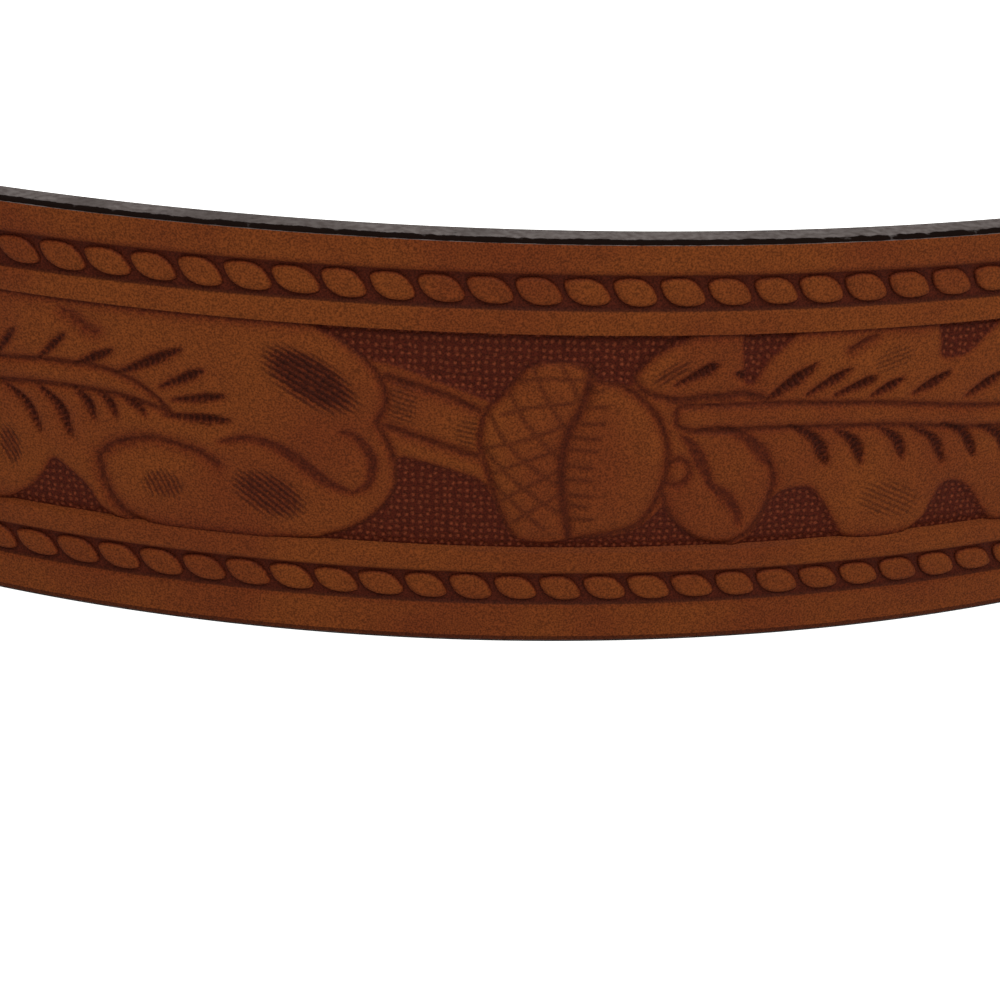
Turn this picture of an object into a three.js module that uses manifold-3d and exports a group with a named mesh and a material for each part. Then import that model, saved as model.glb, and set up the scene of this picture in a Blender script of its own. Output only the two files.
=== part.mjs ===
// Tooled leather waist belt, buckled into its whole loop and standing on its lower edge.
// Millimetres, +Z up. The tooled stretch at the middle of the belt faces -Y, the buckle is at +Y.
import * as THREE from 'three';
import { mergeVertices } from 'three/addons/utils/BufferGeometryUtils.js';
import Module from 'manifold-3d';

const wasm = await Module();
wasm.setup();

// The waist loop, an oval measured on the tooled outer face
const LOOP_HALF_WIDTH = 150;
const LOOP_HALF_DEPTH = 160;

// The strap and the recesses pressed along its tooled face
const STRAP_WIDTH = 38;
const STRAP_THICKNESS = 3;
const EDGE_BEVEL = 0.4;
const RIM_WIDTH = 3.2;
const ROPE_CHANNEL_WIDTH = 3.7;
const ROPE_CHANNEL_DEPTH = 0.55;
const LINE_BAND_WIDTH = 2.2;
const FIELD_DEPTH = 0.4;
const RECESS_WALL = 0.3;

// The end folded back round the heel bar, pared thinner, with a slot that the prong passes
const FLAP_THICKNESS = 2.2;
const FLAP_LENGTH = 56;
const FLAP_PINCH_LENGTH = 11;
const SLOT_PLAY = 1;
const SLOT_REACH = 7;

// The free end with its holes
const HOLE_COUNT = 5;
const HOLE_IN_USE = 3;
const HOLE_DIAMETER = 5;
const HOLE_SPACING = 25.4;
const LAST_HOLE_TO_TIP = 92;
const TIP_LENGTH = 26;

// The buckle: a cast frame with its heel bar and prong
const BAR_WIDTH = 4.5;
const BAR_THICKNESS = 4;
const BUCKLE_SIDE_PLAY = 1;
const BUCKLE_LENGTH = 30;
const BUCKLE_CORNER = 7;
const HEEL_CORNER = 2.5;
const FREE_END_DIP = 2;
const PRONG_WIDTH = 3.4;
const PRONG_THICKNESS = 2.2;
const PRONG_ANGLE = 62;
const PRONG_OVERHANG = 3;
const COLLAR_RADIUS = 3.4;
const COLLAR_WIDTH = 5;

// The keeper and the two screw posts that hold the fold
const KEEPER_WIDTH = 12;
const KEEPER_THICKNESS = 1.8;
const KEEPER_SIDE_PLAY = 0.5;
const KEEPER_SETBACK = 30;
const POST_RADIUS = 2.4;
const POST_CAP_RADIUS = 4.5;
const POST_CAP_THICKNESS = 0.9;
const POST_SETBACKS = [17, 43];

// Clearance between pieces, and the steps of the faceted runs
const GAP = 0.3;
const LOOP_STEP = 10;
const BUCKLE_STEP = 3;

const HALF_STRAP = STRAP_WIDTH / 2;
const BUCKLE_HALF_HEIGHT = HALF_STRAP + BUCKLE_SIDE_PLAY + BAR_WIDTH;
const STRAP_LIFT = BUCKLE_HALF_HEIGHT - HALF_STRAP;
const BAR_RADIUS = BAR_THICKNESS / 2;
const HEEL_AT = BUCKLE_LENGTH / 2;
const HEEL_DEPTH = -STRAP_THICKNESS - GAP - BAR_RADIUS;
const END_BAR_DEPTH = -FREE_END_DIP + GAP + BAR_RADIUS;
const FOLD_RADIUS = BAR_RADIUS + GAP + STRAP_THICKNESS;
const FLAP_BACK_DEPTH = -STRAP_THICKNESS - GAP - FLAP_THICKNESS;
const POST_TOP_DEPTH = -FIELD_DEPTH + GAP + POST_CAP_THICKNESS;
const FREE_END_OVER_DEPTH = POST_TOP_DEPTH + GAP + STRAP_THICKNESS / 2;

// Shares of the loop, from the buckle, between which the strap sinks to the surface it stands on
const LIFT_HOLD_SHARE = 0.1;
const LIFT_END_SHARE = 0.28;

// Where the free end dips under the end bar, climbs over the fold and settles on the strap
const DIP_FROM = -HEEL_AT - 3 * LOOP_STEP;
const DIP_TO = -HEEL_AT - 0.2 * BUCKLE_LENGTH;
const CLIMB_FROM = -HEEL_AT + 0.07 * BUCKLE_LENGTH;
const SETTLE_FROM = HEEL_AT + FLAP_LENGTH + LOOP_STEP / 2;
const SETTLE_TO = SETTLE_FROM + 2.5 * LOOP_STEP;
const HOLE_IN_USE_AT = -0.05 * BUCKLE_LENGTH;

const smooth = (from, to, x) => THREE.MathUtils.smoothstep(x, from, to);
const mix = THREE.MathUtils.lerp;
const radians = THREE.MathUtils.degToRad;

// The oval by arc length: distance 0 is the middle of the back, and it runs by -X to the front
const OVAL_SAMPLES = 2880;
const ovalLengths = [0];
for (let i = 1; i <= OVAL_SAMPLES; i += 1) {
  const angle = ((i - 0.5) / OVAL_SAMPLES) * 2 * Math.PI;
  const speed = Math.hypot(LOOP_HALF_WIDTH * Math.cos(angle), LOOP_HALF_DEPTH * Math.sin(angle));
  ovalLengths.push(ovalLengths[i - 1] + (speed * 2 * Math.PI) / OVAL_SAMPLES);
}
const LOOP_LENGTH = ovalLengths[OVAL_SAMPLES];

function ovalAngle(distance) {
  const wrapped = THREE.MathUtils.euclideanModulo(distance, LOOP_LENGTH);
  const above = ovalLengths.findIndex((length) => length > wrapped);
  const share = (wrapped - ovalLengths[above - 1]) / (ovalLengths[above] - ovalLengths[above - 1]);
  return ((above - 1 + share) / OVAL_SAMPLES) * 2 * Math.PI;
}

function outwardAt(distance) {
  const angle = ovalAngle(distance);
  const across = -LOOP_HALF_DEPTH * Math.sin(angle);
  const along = LOOP_HALF_WIDTH * Math.cos(angle);
  return new THREE.Vector3(across, along, 0).normalize();
}

// How far the strap is raised at a distance along the loop
function lift(distance) {
  const wrapped = THREE.MathUtils.euclideanModulo(distance, LOOP_LENGTH);
  const share = Math.min(wrapped, LOOP_LENGTH - wrapped) / LOOP_LENGTH;
  return STRAP_LIFT * (1 - smooth(LIFT_HOLD_SHARE, LIFT_END_SHARE, share));
}

// A point by its distance along the loop, its depth outside the tooled face and its height
// above the strap's middle line
function place(distance, depth, height) {
  const angle = ovalAngle(distance);
  const onOval = new THREE.Vector3(
    -LOOP_HALF_WIDTH * Math.sin(angle),
    LOOP_HALF_DEPTH * Math.cos(angle),
    HALF_STRAP + lift(distance) + height,
  );
  return onOval.addScaledVector(outwardAt(distance), depth);
}

// Even steps from one value to another, with both ends
function steps(from, to, step) {
  const count = Math.max(1, Math.ceil(Math.abs(to - from) / step));
  return Array.from({ length: count + 1 }, (_, i) => mix(from, to, i / count));
}

// Triangles that close an outline, in the same turn as the outline
function capFaces(outline) {
  const area = THREE.ShapeUtils.area(outline);
  return THREE.ShapeUtils.triangulateShape(outline, []).map(([a, b, c]) => {
    const turn = THREE.ShapeUtils.area([outline[a], outline[b], outline[c]]);
    return turn * area > 0 ? [a, b, c] : [a, c, b];
  });
}

// A closed mesh through rings of points. A run that isn't a ring itself is capped at both ends
function sweep(rings, outline = null) {
  const sides = rings[0].length;
  const points = rings.flat();
  const faces = [];
  const spans = outline ? rings.length - 1 : rings.length;
  for (let i = 0; i < spans; i += 1) {
    const here = i * sides;
    const next = ((i + 1) % rings.length) * sides;
    for (let j = 0; j < sides; j += 1) {
      const k = (j + 1) % sides;
      faces.push([here + j, here + k, next + k]);
      faces.push([here + j, next + k, next + j]);
    }
  }
  if (outline) {
    const last = (rings.length - 1) * sides;
    for (const [a, b, c] of capFaces(outline)) {
      faces.push([a, c, b]);
      faces.push([last + a, last + b, last + c]);
    }
  }
  const volume = faces.reduce((sum, [a, b, c]) => {
    const normal = new THREE.Vector3().crossVectors(points[b], points[c]);
    return sum + points[a].dot(normal);
  }, 0);
  const outside = volume > 0 ? faces : faces.map(([a, b, c]) => [a, c, b]);
  return new THREE.BufferGeometry().setFromPoints(points).setIndex(outside.flat());
}

function toSolid(geometry) {
  geometry.deleteAttribute('normal');
  geometry.deleteAttribute('uv');
  const merged = mergeVertices(geometry, 1e-5);
  return new wasm.Manifold(new wasm.Mesh({
    numProp: 3,
    vertProperties: merged.attributes.position.array,
    triVerts: new Uint32Array(merged.index.array),
  }));
}

function toGeometry(solid) {
  const mesh = solid.getMesh();
  const geometry = new THREE.BufferGeometry();
  geometry.setAttribute('position', new THREE.BufferAttribute(mesh.vertProperties, 3));
  return geometry.setIndex(new THREE.BufferAttribute(mesh.triVerts, 1));
}

function circle(radiusX, radiusY, sides) {
  return Array.from({ length: sides }, (_, i) => {
    const angle = (i / sides) * 2 * Math.PI;
    return new THREE.Vector2(radiusX * Math.cos(angle), radiusY * Math.sin(angle));
  });
}

// The strap's outline across: x is out from the middle of its thickness, y up from its middle
// line. From each edge the rows are the bevel, the rim, the rope channel, the line band, the field
function strapOutline({ thickness = STRAP_THICKNESS, widthShare = 1, relief = 1 }) {
  const rimEnd = HALF_STRAP - RIM_WIDTH;
  const bandStart = rimEnd - ROPE_CHANNEL_WIDTH;
  const bandEnd = bandStart - LINE_BAND_WIDTH;
  const rows = [
    { height: HALF_STRAP, depth: EDGE_BEVEL },
    { height: HALF_STRAP - EDGE_BEVEL, depth: 0 },
    { height: rimEnd, depth: 0 },
    { height: rimEnd - RECESS_WALL, depth: ROPE_CHANNEL_DEPTH * relief },
    { height: bandStart + RECESS_WALL, depth: ROPE_CHANNEL_DEPTH * relief },
    { height: bandStart, depth: 0 },
    { height: bandEnd, depth: 0 },
    { height: bandEnd - RECESS_WALL, depth: FIELD_DEPTH * relief },
  ];
  const lower = rows.map(({ height, depth }) => new THREE.Vector2(thickness / 2 - depth, -height));
  const upper = lower.map(({ x, y }) => new THREE.Vector2(x, -y)).reverse();
  const back = [HALF_STRAP, -HALF_STRAP].map((height) => new THREE.Vector2(-thickness / 2, height));
  return [...lower, ...upper, ...back].map(({ x, y }) => new THREE.Vector2(x, y * widthShare));
}

// The depth of the free end's middle, by its distance past the middle of the buckle
function freeEndDepth(past) {
  const level = -STRAP_THICKNESS / 2;
  const dip = FREE_END_DIP * smooth(DIP_FROM, DIP_TO, past);
  const climb = (FREE_END_OVER_DEPTH - level + FREE_END_DIP) * smooth(CLIMB_FROM, HEEL_AT, past);
  const settle = (POST_TOP_DEPTH) * smooth(SETTLE_FROM, SETTLE_TO, past);
  return level - dip + climb - settle;
}

function holePlaces() {
  return Array.from({ length: HOLE_COUNT }, (_, i) => (
    HOLE_IN_USE_AT + (i + 1 - HOLE_IN_USE) * HOLE_SPACING
  ));
}

// The strap's middle line, from the end of the flap round the heel bar and the loop to the tip
function strapStations() {
  const flapFlat = FLAP_BACK_DEPTH + FLAP_THICKNESS / 2;
  const flapBend = BAR_RADIUS + GAP + FLAP_THICKNESS / 2;
  const outerBend = BAR_RADIUS + GAP + STRAP_THICKNESS / 2;
  const flap = steps(HEEL_AT + FLAP_LENGTH, HEEL_AT, BUCKLE_STEP).map((distance) => ({
    distance,
    depth: mix(HEEL_DEPTH - flapBend, flapFlat, smooth(HEEL_AT, HEEL_AT + FLAP_PINCH_LENGTH, distance)),
    thickness: FLAP_THICKNESS,
    relief: 0,
  }));
  const fold = steps(0, 1, 0.125).slice(1).map((share) => ({
    distance: HEEL_AT - mix(flapBend, outerBend, share) * Math.sin(share * Math.PI),
    depth: HEEL_DEPTH - mix(flapBend, outerBend, share) * Math.cos(share * Math.PI),
    thickness: mix(FLAP_THICKNESS, STRAP_THICKNESS, share),
    relief: share,
  }));
  const loop = steps(HEEL_AT, LOOP_LENGTH + DIP_FROM, LOOP_STEP).slice(1).map((distance) => ({
    distance,
    depth: -STRAP_THICKNESS / 2,
  }));
  const tipEnd = holePlaces()[HOLE_COUNT - 1] + LAST_HOLE_TO_TIP;
  const free = [
    ...steps(DIP_FROM, HEEL_AT, BUCKLE_STEP),
    ...steps(HEEL_AT, tipEnd - TIP_LENGTH, LOOP_STEP).slice(1),
  ].slice(1).map((past) => ({ distance: LOOP_LENGTH + past, depth: freeEndDepth(past) }));
  const tip = [0.25, 0.45, 0.62, 0.76, 0.87, 0.95, 0.99].map((share) => {
    const past = tipEnd - TIP_LENGTH * (1 - share);
    return {
      distance: LOOP_LENGTH + past,
      depth: freeEndDepth(past),
      widthShare: Math.sqrt(1 - share * share),
    };
  });
  return [...flap, ...fold, ...loop, ...free, ...tip];
}

// The strap before it is punched: its outline carried along the stations, square to their run
function strapBlank() {
  const stations = strapStations();
  const rings = stations.map((station, i) => {
    const before = stations[Math.max(0, i - 1)];
    const after = stations[Math.min(stations.length - 1, i + 1)];
    const along = new THREE.Vector2(after.distance - before.distance, after.depth - before.depth);
    along.normalize();
    return strapOutline(station).map(({ x, y }) => (
      place(station.distance - along.y * x, station.depth + along.x * x, y)
    ));
  });
  return sweep(rings, strapOutline({}));
}

// A straight punch through the strap, square to a face that leans by the given angle
function punch(distance, depth, radius, reach, lean = 0) {
  const cutter = new THREE.CylinderGeometry(radius, radius, reach, 16);
  const along = place(distance + 1, depth, 0).sub(place(distance - 1, depth, 0)).normalize();
  const through = outwardAt(distance).multiplyScalar(Math.cos(lean)).addScaledVector(along, -Math.sin(lean));
  cutter.applyQuaternion(new THREE.Quaternion().setFromUnitVectors(new THREE.Vector3(0, 1, 0), through));
  const middle = place(distance, depth, 0);
  cutter.translate(middle.x, middle.y, middle.z);
  return toSolid(cutter);
}

function freeEndLean(past) {
  return Math.atan2(freeEndDepth(past + 0.5) - freeEndDepth(past - 0.5), 1);
}

// The oblong slot in the fold: it spans the turn of the leather and ends round on both plies
function prongSlot() {
  const halfWidth = COLLAR_WIDTH / 2 + SLOT_PLAY;
  const start = HEEL_AT - FOLD_RADIUS - GAP;
  const roundEnd = HEEL_AT + SLOT_REACH - halfWidth;
  const arc = steps(-90, 90, 22.5).map((angle) => new THREE.Vector2(
    roundEnd + halfWidth * Math.cos(radians(angle)),
    halfWidth * Math.sin(radians(angle)),
  ));
  const outline = [new THREE.Vector2(start, -halfWidth), ...arc, new THREE.Vector2(start, halfWidth)];
  const depths = [HEEL_DEPTH - FOLD_RADIUS - GAP, GAP / 2];
  return toSolid(sweep(depths.map((depth) => outline.map(({ x, y }) => place(x, depth, y))), outline));
}

function strapGeometry() {
  const holes = holePlaces().map((past) => punch(
    LOOP_LENGTH + past,
    freeEndDepth(past),
    HOLE_DIAMETER / 2,
    STRAP_THICKNESS + GAP,
    freeEndLean(past),
  ));
  const foldReach = -FLAP_BACK_DEPTH + GAP;
  const postHoles = POST_SETBACKS.map((setback) => (
    punch(HEEL_AT + setback, FLAP_BACK_DEPTH / 2, POST_RADIUS + GAP, foldReach)
  ));
  const cutters = [...holes, ...postHoles, prongSlot()];
  return toGeometry(cutters.reduce((solid, cutter) => solid.subtract(cutter), toSolid(strapBlank())));
}

// The buckle frame's middle line: half a rounded rectangle upward from the heel, then mirrored
function frameStations() {
  const halfHeight = BUCKLE_HALF_HEIGHT - BAR_WIDTH / 2;
  const corner = (middleX, middleY, radius, fromAngle) => (
    steps(fromAngle, fromAngle + 90, 22.5).map((angle) => ({
      past: middleX + radius * Math.cos(radians(angle)),
      height: middleY + radius * Math.sin(radians(angle)),
      angle: radians(angle),
    }))
  );
  const heel = corner(HEEL_AT - HEEL_CORNER, halfHeight - HEEL_CORNER, HEEL_CORNER, 0);
  const end = corner(-HEEL_AT + BUCKLE_CORNER, halfHeight - BUCKLE_CORNER, BUCKLE_CORNER, 90);
  const side = steps(heel.at(-1).past, end[0].past, BUCKLE_STEP).slice(1, -1).map((past) => ({
    past,
    height: halfHeight,
    angle: Math.PI / 2,
  }));
  const upper = [...heel, ...side, ...end];
  const lower = upper.map(({ past, height, angle }) => ({ past, height: -height, angle: -angle }));
  return [...upper, ...lower.reverse()];
}

function frameSolid() {
  const rings = frameStations().map(({ past, height, angle }) => {
    const sunk = smooth(-HEEL_AT + 0.17 * BUCKLE_LENGTH, HEEL_AT - HEEL_CORNER, past);
    const onHeel = smooth(0, 1, Math.cos(angle));
    const halfWidth = mix(BAR_WIDTH / 2, BAR_RADIUS, onHeel);
    return circle(halfWidth, BAR_RADIUS, 12).map(({ x, y }) => place(
      past + x * Math.cos(angle),
      mix(END_BAR_DEPTH, HEEL_DEPTH, sunk) + y,
      height + x * Math.sin(angle),
    ));
  });
  return toSolid(sweep(rings));
}

// The prong: from its collar on the heel bar it runs inside the strap, crosses the hole in use
// steeply and lies over the end bar
function prongSolid() {
  const hole = new THREE.Vector2(HOLE_IN_USE_AT, freeEndDepth(HOLE_IN_USE_AT));
  const heading = Math.PI + freeEndLean(HOLE_IN_USE_AT) - radians(PRONG_ANGLE);
  const across = new THREE.Vector2(Math.cos(heading), Math.sin(heading));
  const reach = (STRAP_THICKNESS / 2 + GAP + PRONG_THICKNESS / 2) / Math.sin(radians(PRONG_ANGLE));
  const onLine = (length) => hole.clone().addScaledVector(across, length);
  const toDepth = (depth) => onLine((depth - hole.y) / across.y);
  const restDepth = END_BAR_DEPTH + BAR_RADIUS - GAP + PRONG_THICKNESS / 2;
  const heel = new THREE.Vector2(HEEL_AT, HEEL_DEPTH);
  const rest = new THREE.Vector2(-HEEL_AT, restDepth);
  const tip = new THREE.Vector2(-HEEL_AT - PRONG_OVERHANG, restDepth - PRONG_THICKNESS / 4);
  const under = toDepth(HEEL_DEPTH + PRONG_THICKNESS / 2);
  const path = new THREE.CurvePath();
  path.add(new THREE.QuadraticBezierCurve(heel, under, onLine(-reach)));
  path.add(new THREE.LineCurve(onLine(-reach), onLine(reach)));
  path.add(new THREE.QuadraticBezierCurve(onLine(reach), toDepth(restDepth), rest));
  path.add(new THREE.LineCurve(rest, tip));
  const samples = path.curves.flatMap((curve, i) => {
    const points = curve.getPoints(i % 2 === 0 ? 6 : 1);
    return i === 0 ? points : points.slice(1);
  });
  const section = circle(PRONG_THICKNESS / 2, PRONG_WIDTH / 2, 10);
  const rings = samples.map((point, i) => {
    const before = samples[Math.max(0, i - 1)];
    const after = samples[Math.min(samples.length - 1, i + 1)];
    const along = after.clone().sub(before).normalize();
    const share = i === samples.length - 1 ? 0.6 : 1;
    return section.map(({ x, y }) => (
      place(point.x - along.y * x * share, point.y + along.x * x * share, y * share)
    ));
  });
  return toSolid(sweep(rings, section));
}

function collarSolid() {
  const outline = circle(COLLAR_RADIUS, COLLAR_RADIUS, 14);
  const ends = [-COLLAR_WIDTH / 2, COLLAR_WIDTH / 2];
  const rings = ends.map((height) => (
    outline.map(({ x, y }) => place(HEEL_AT + x, HEEL_DEPTH + y, height))
  ));
  return toSolid(sweep(rings, outline));
}

// A round-cornered box across the strap, carried along it from one distance to another
function bandSolid(innerDepth, outerDepth, halfHeight, corner, from, to) {
  const middle = (innerDepth + outerDepth) / 2;
  const halfDepth = (outerDepth - innerDepth) / 2;
  const outline = steps(0, 360, 30).slice(0, -1).map((angle) => {
    const turn = radians(angle + 15);
    return new THREE.Vector2(
      middle + Math.sign(Math.cos(turn)) * (halfDepth - corner) + corner * Math.cos(turn),
      Math.sign(Math.sin(turn)) * (halfHeight - corner) + corner * Math.sin(turn),
    );
  });
  const rings = steps(from, to, BUCKLE_STEP).map((distance) => (
    outline.map(({ x, y }) => place(distance, x, y))
  ));
  return toSolid(sweep(rings, outline));
}

// The keeper: a flat loop of leather round the fold and the free end, between the two posts
function keeperGeometry() {
  const inner = FLAP_BACK_DEPTH - GAP;
  const outer = FREE_END_OVER_DEPTH + STRAP_THICKNESS / 2 + GAP;
  const halfHeight = HALF_STRAP + KEEPER_SIDE_PLAY;
  const from = HEEL_AT + KEEPER_SETBACK - KEEPER_WIDTH / 2;
  const to = from + KEEPER_WIDTH;
  const wall = KEEPER_THICKNESS;
  const outside = bandSolid(inner - wall, outer + wall, halfHeight + wall, wall, from, to);
  const inside = bandSolid(inner, outer, halfHeight, GAP, from - 1, to + 1);
  return toGeometry(outside.subtract(inside));
}

// A screw post: a barrel through both plies with a flat cap on each side
function postMesh(setback, index, material) {
  const bottom = FLAP_BACK_DEPTH - GAP - POST_CAP_THICKNESS;
  const profile = [
    [0, bottom],
    [POST_CAP_RADIUS, bottom],
    [POST_CAP_RADIUS, bottom + POST_CAP_THICKNESS],
    [POST_RADIUS, bottom + POST_CAP_THICKNESS],
    [POST_RADIUS, POST_TOP_DEPTH - POST_CAP_THICKNESS],
    [POST_CAP_RADIUS, POST_TOP_DEPTH - POST_CAP_THICKNESS],
    [POST_CAP_RADIUS, POST_TOP_DEPTH],
    [0, POST_TOP_DEPTH],
  ].map(([radius, depth]) => new THREE.Vector2(radius, depth));
  const mesh = new THREE.Mesh(new THREE.LatheGeometry(profile, 16), material);
  mesh.name = `post_${index + 1}`;
  mesh.position.copy(place(HEEL_AT + setback, 0, 0));
  mesh.quaternion.setFromUnitVectors(new THREE.Vector3(0, 1, 0), outwardAt(HEEL_AT + setback));
  return mesh;
}

function namedMesh(name, geometry, material) {
  const mesh = new THREE.Mesh(geometry, material);
  mesh.name = name;
  return mesh;
}

const tooledLeather = new THREE.MeshStandardMaterial({ color: 0x63361e, roughness: 0.6, flatShading: true });
const plainLeather = new THREE.MeshStandardMaterial({ color: 0x5a301a, roughness: 0.65, flatShading: true });
const castMetal = new THREE.MeshStandardMaterial({
  color: 0x8d8271,
  roughness: 0.4,
  metalness: 1,
  flatShading: true,
});

const buckle = toGeometry(frameSolid().add(collarSolid()).add(prongSolid()));
const belt = new THREE.Group();
belt.add(
  namedMesh('strap', strapGeometry(), tooledLeather),
  namedMesh('buckle', buckle, castMetal),
  namedMesh('keeper', keeperGeometry(), plainLeather),
  ...POST_SETBACKS.map((setback, index) => postMesh(setback, index, castMetal)),
);

// The origin is on the surface that the belt stands on, under the middle of the whole belt
const box = new THREE.Box3().setFromObject(belt, true);
const middle = box.getCenter(new THREE.Vector3());
belt.position.set(-middle.x, -middle.y, -box.min.z);

export default belt;
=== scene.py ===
import math

import bpy
import numpy as np
from mathutils import Matrix, Vector


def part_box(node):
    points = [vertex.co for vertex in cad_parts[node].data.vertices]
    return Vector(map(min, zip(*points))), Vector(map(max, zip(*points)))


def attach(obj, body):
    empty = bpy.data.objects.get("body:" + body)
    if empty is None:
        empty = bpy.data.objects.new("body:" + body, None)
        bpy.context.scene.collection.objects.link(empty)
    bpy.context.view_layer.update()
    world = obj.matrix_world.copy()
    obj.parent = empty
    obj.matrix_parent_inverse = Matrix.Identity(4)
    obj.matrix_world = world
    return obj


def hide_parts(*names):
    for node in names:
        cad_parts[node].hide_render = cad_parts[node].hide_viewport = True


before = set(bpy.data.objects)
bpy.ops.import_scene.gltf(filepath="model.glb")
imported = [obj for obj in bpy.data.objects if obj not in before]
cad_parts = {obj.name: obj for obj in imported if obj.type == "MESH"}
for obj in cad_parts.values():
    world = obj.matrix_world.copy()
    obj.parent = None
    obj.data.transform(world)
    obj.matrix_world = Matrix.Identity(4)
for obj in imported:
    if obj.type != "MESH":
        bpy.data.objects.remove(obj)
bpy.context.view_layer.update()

MM = 0.001

# Camera: a close view of the front of the loop, from above and a little left of square.
# Its distance, lens and tilts were worked out from the strap's edges and its rope stamps.
CAMERA_DISTANCE = 154.3 * MM
CAMERA_ELEVATION = math.radians(26.5)
CAMERA_LENS = 65.65
CAMERA_PAN = math.radians(-1.338)
CAMERA_TILT = math.radians(-1.483)
CAMERA_ROLL = math.radians(2.138)
STRAP_WIDTH = 38.0

strap_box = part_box("strap")
front_of_loop = Vector((0.0, strap_box[0][1], STRAP_WIDTH / 2 * MM))
towards_camera = Vector((0.0, -math.cos(CAMERA_ELEVATION), math.sin(CAMERA_ELEVATION)))
camera_data = bpy.data.cameras.new("camera")
camera_data.lens = CAMERA_LENS
camera_data.sensor_width = 36.0
camera_data.clip_start = 0.01
camera_data.clip_end = 20.0
camera = bpy.data.objects.new("camera", camera_data)
bpy.context.scene.collection.objects.link(camera)
camera.matrix_world = (
    Matrix.Translation(front_of_loop + towards_camera * CAMERA_DISTANCE)
    @ Matrix.Rotation(math.pi / 2 - CAMERA_ELEVATION, 4, "X")
    @ Matrix.Rotation(CAMERA_PAN, 4, "Y")
    @ Matrix.Rotation(CAMERA_TILT, 4, "X")
    @ Matrix.Rotation(CAMERA_ROLL, 4, "Z")
)
bpy.context.scene.camera = camera

# The run of the belt: one strap of 3 mm vegetable-tanned leather, bent into an oval waist loop.
# Its pared end folds back round the heel bar, and its free end goes through the buckle.
LOOP_HALF_WIDTH = 150.0
LOOP_HALF_DEPTH = 160.0
STRAP_THICKNESS = 3.0
FLAP_THICKNESS = 2.2
FLAP_LENGTH = 56.0
FLAP_PINCH_LENGTH = 11.0
GAP = 0.3
BAR_WIDTH = 4.5
BAR_RADIUS = 2.0
BUCKLE_LENGTH = 30.0
FREE_END_DIP = 2.0
HOLE_SPACING = 25.4
HOLE_RADIUS = 2.5
HOLE_IN_USE_AT = -1.5
LAST_HOLE_TO_TIP = 92.0
TIP_LENGTH = 26.0
STRAP_LIFT = 5.5
LIFT_HOLD_SHARE = 0.1
LIFT_END_SHARE = 0.28
POST_TOP_DEPTH = 0.8

HALF_STRAP = STRAP_WIDTH / 2
STRAP_LEVEL = -STRAP_THICKNESS / 2
HEEL_AT = BUCKLE_LENGTH / 2
HEEL_DEPTH = -STRAP_THICKNESS - GAP - BAR_RADIUS
END_BAR_DEPTH = -FREE_END_DIP + GAP + BAR_RADIUS
FLAP_BACK_DEPTH = -STRAP_THICKNESS - GAP - FLAP_THICKNESS
FREE_END_OVER_DEPTH = POST_TOP_DEPTH + GAP + STRAP_THICKNESS / 2
TIP_END = HOLE_IN_USE_AT + 2 * HOLE_SPACING + LAST_HOLE_TO_TIP
TIP_START = TIP_END - TIP_LENGTH
LOOP_MIDDLE_Y = strap_box[0][1] / MM + LOOP_HALF_DEPTH

# The free end dips under the end bar, climbs over the heel bar and settles past the fold
DIPS_FROM = -HEEL_AT - 30.0
DIPPED_AT = -HEEL_AT - 6.0
CLIMBS_FROM = -HEEL_AT + 2.1
SETTLES_FROM = HEEL_AT + FLAP_LENGTH + 5.0
SETTLED_AT = HEEL_AT + FLAP_LENGTH + 30.0

oval_turns = np.linspace(0.0, 2 * math.pi, 2881)
oval_middles = (oval_turns[1:] + oval_turns[:-1]) / 2
oval_speeds = np.hypot(LOOP_HALF_WIDTH * np.cos(oval_middles), LOOP_HALF_DEPTH * np.sin(oval_middles))
oval_lengths = np.concatenate([[0.0], np.cumsum(oval_speeds * oval_turns[1])])
LOOP_LENGTH = oval_lengths[-1]
FRONT_AT = LOOP_LENGTH / 2


def smooth(value, start, stop):
    share = np.clip((np.asarray(value, float) - start) / (stop - start), 0.0, 1.0)
    return share * share * (3.0 - 2.0 * share)


def outward(distance):
    turn = np.interp(np.mod(distance, LOOP_LENGTH), oval_lengths, oval_turns)
    across = np.stack([-LOOP_HALF_DEPTH * np.sin(turn), LOOP_HALF_WIDTH * np.cos(turn)], -1)
    return across / np.linalg.norm(across, axis=-1, keepdims=True)


def place(distance, depth, height):
    """Points in mm: distance along the loop from the back by -X, depth outside the tooled face,
    height above the strap's middle line."""
    distance, depth, height = np.broadcast_arrays(distance, depth, height)
    turn = np.interp(np.mod(distance, LOOP_LENGTH), oval_lengths, oval_turns)
    normal = outward(distance)
    from_back = np.mod(distance, LOOP_LENGTH) / LOOP_LENGTH
    share = np.minimum(from_back, 1.0 - from_back)
    lift = STRAP_LIFT * (1.0 - smooth(share, LIFT_HOLD_SHARE, LIFT_END_SHARE))
    return np.stack([
        -LOOP_HALF_WIDTH * np.sin(turn) + normal[..., 0] * depth,
        LOOP_HALF_DEPTH * np.cos(turn) + normal[..., 1] * depth + LOOP_MIDDLE_Y,
        HALF_STRAP + lift + height,
    ], -1)


def free_end_depth(past):
    """Depth of the free end's middle by the distance past the buckle's middle."""
    dip = FREE_END_DIP * smooth(past, DIPS_FROM, DIPPED_AT)
    climb = (FREE_END_OVER_DEPTH - STRAP_LEVEL + FREE_END_DIP) * smooth(past, CLIMBS_FROM, HEEL_AT)
    settle = POST_TOP_DEPTH * smooth(past, SETTLES_FROM, SETTLED_AT)
    return STRAP_LEVEL - dip + climb - settle


def free_end_lean(past):
    return math.atan2(free_end_depth(past + 0.5) - free_end_depth(past - 0.5), 1.0)


def steps(start, stop, step):
    count = max(1, math.ceil(abs(stop - start) / step))
    return np.linspace(start, stop, count + 1)


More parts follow.
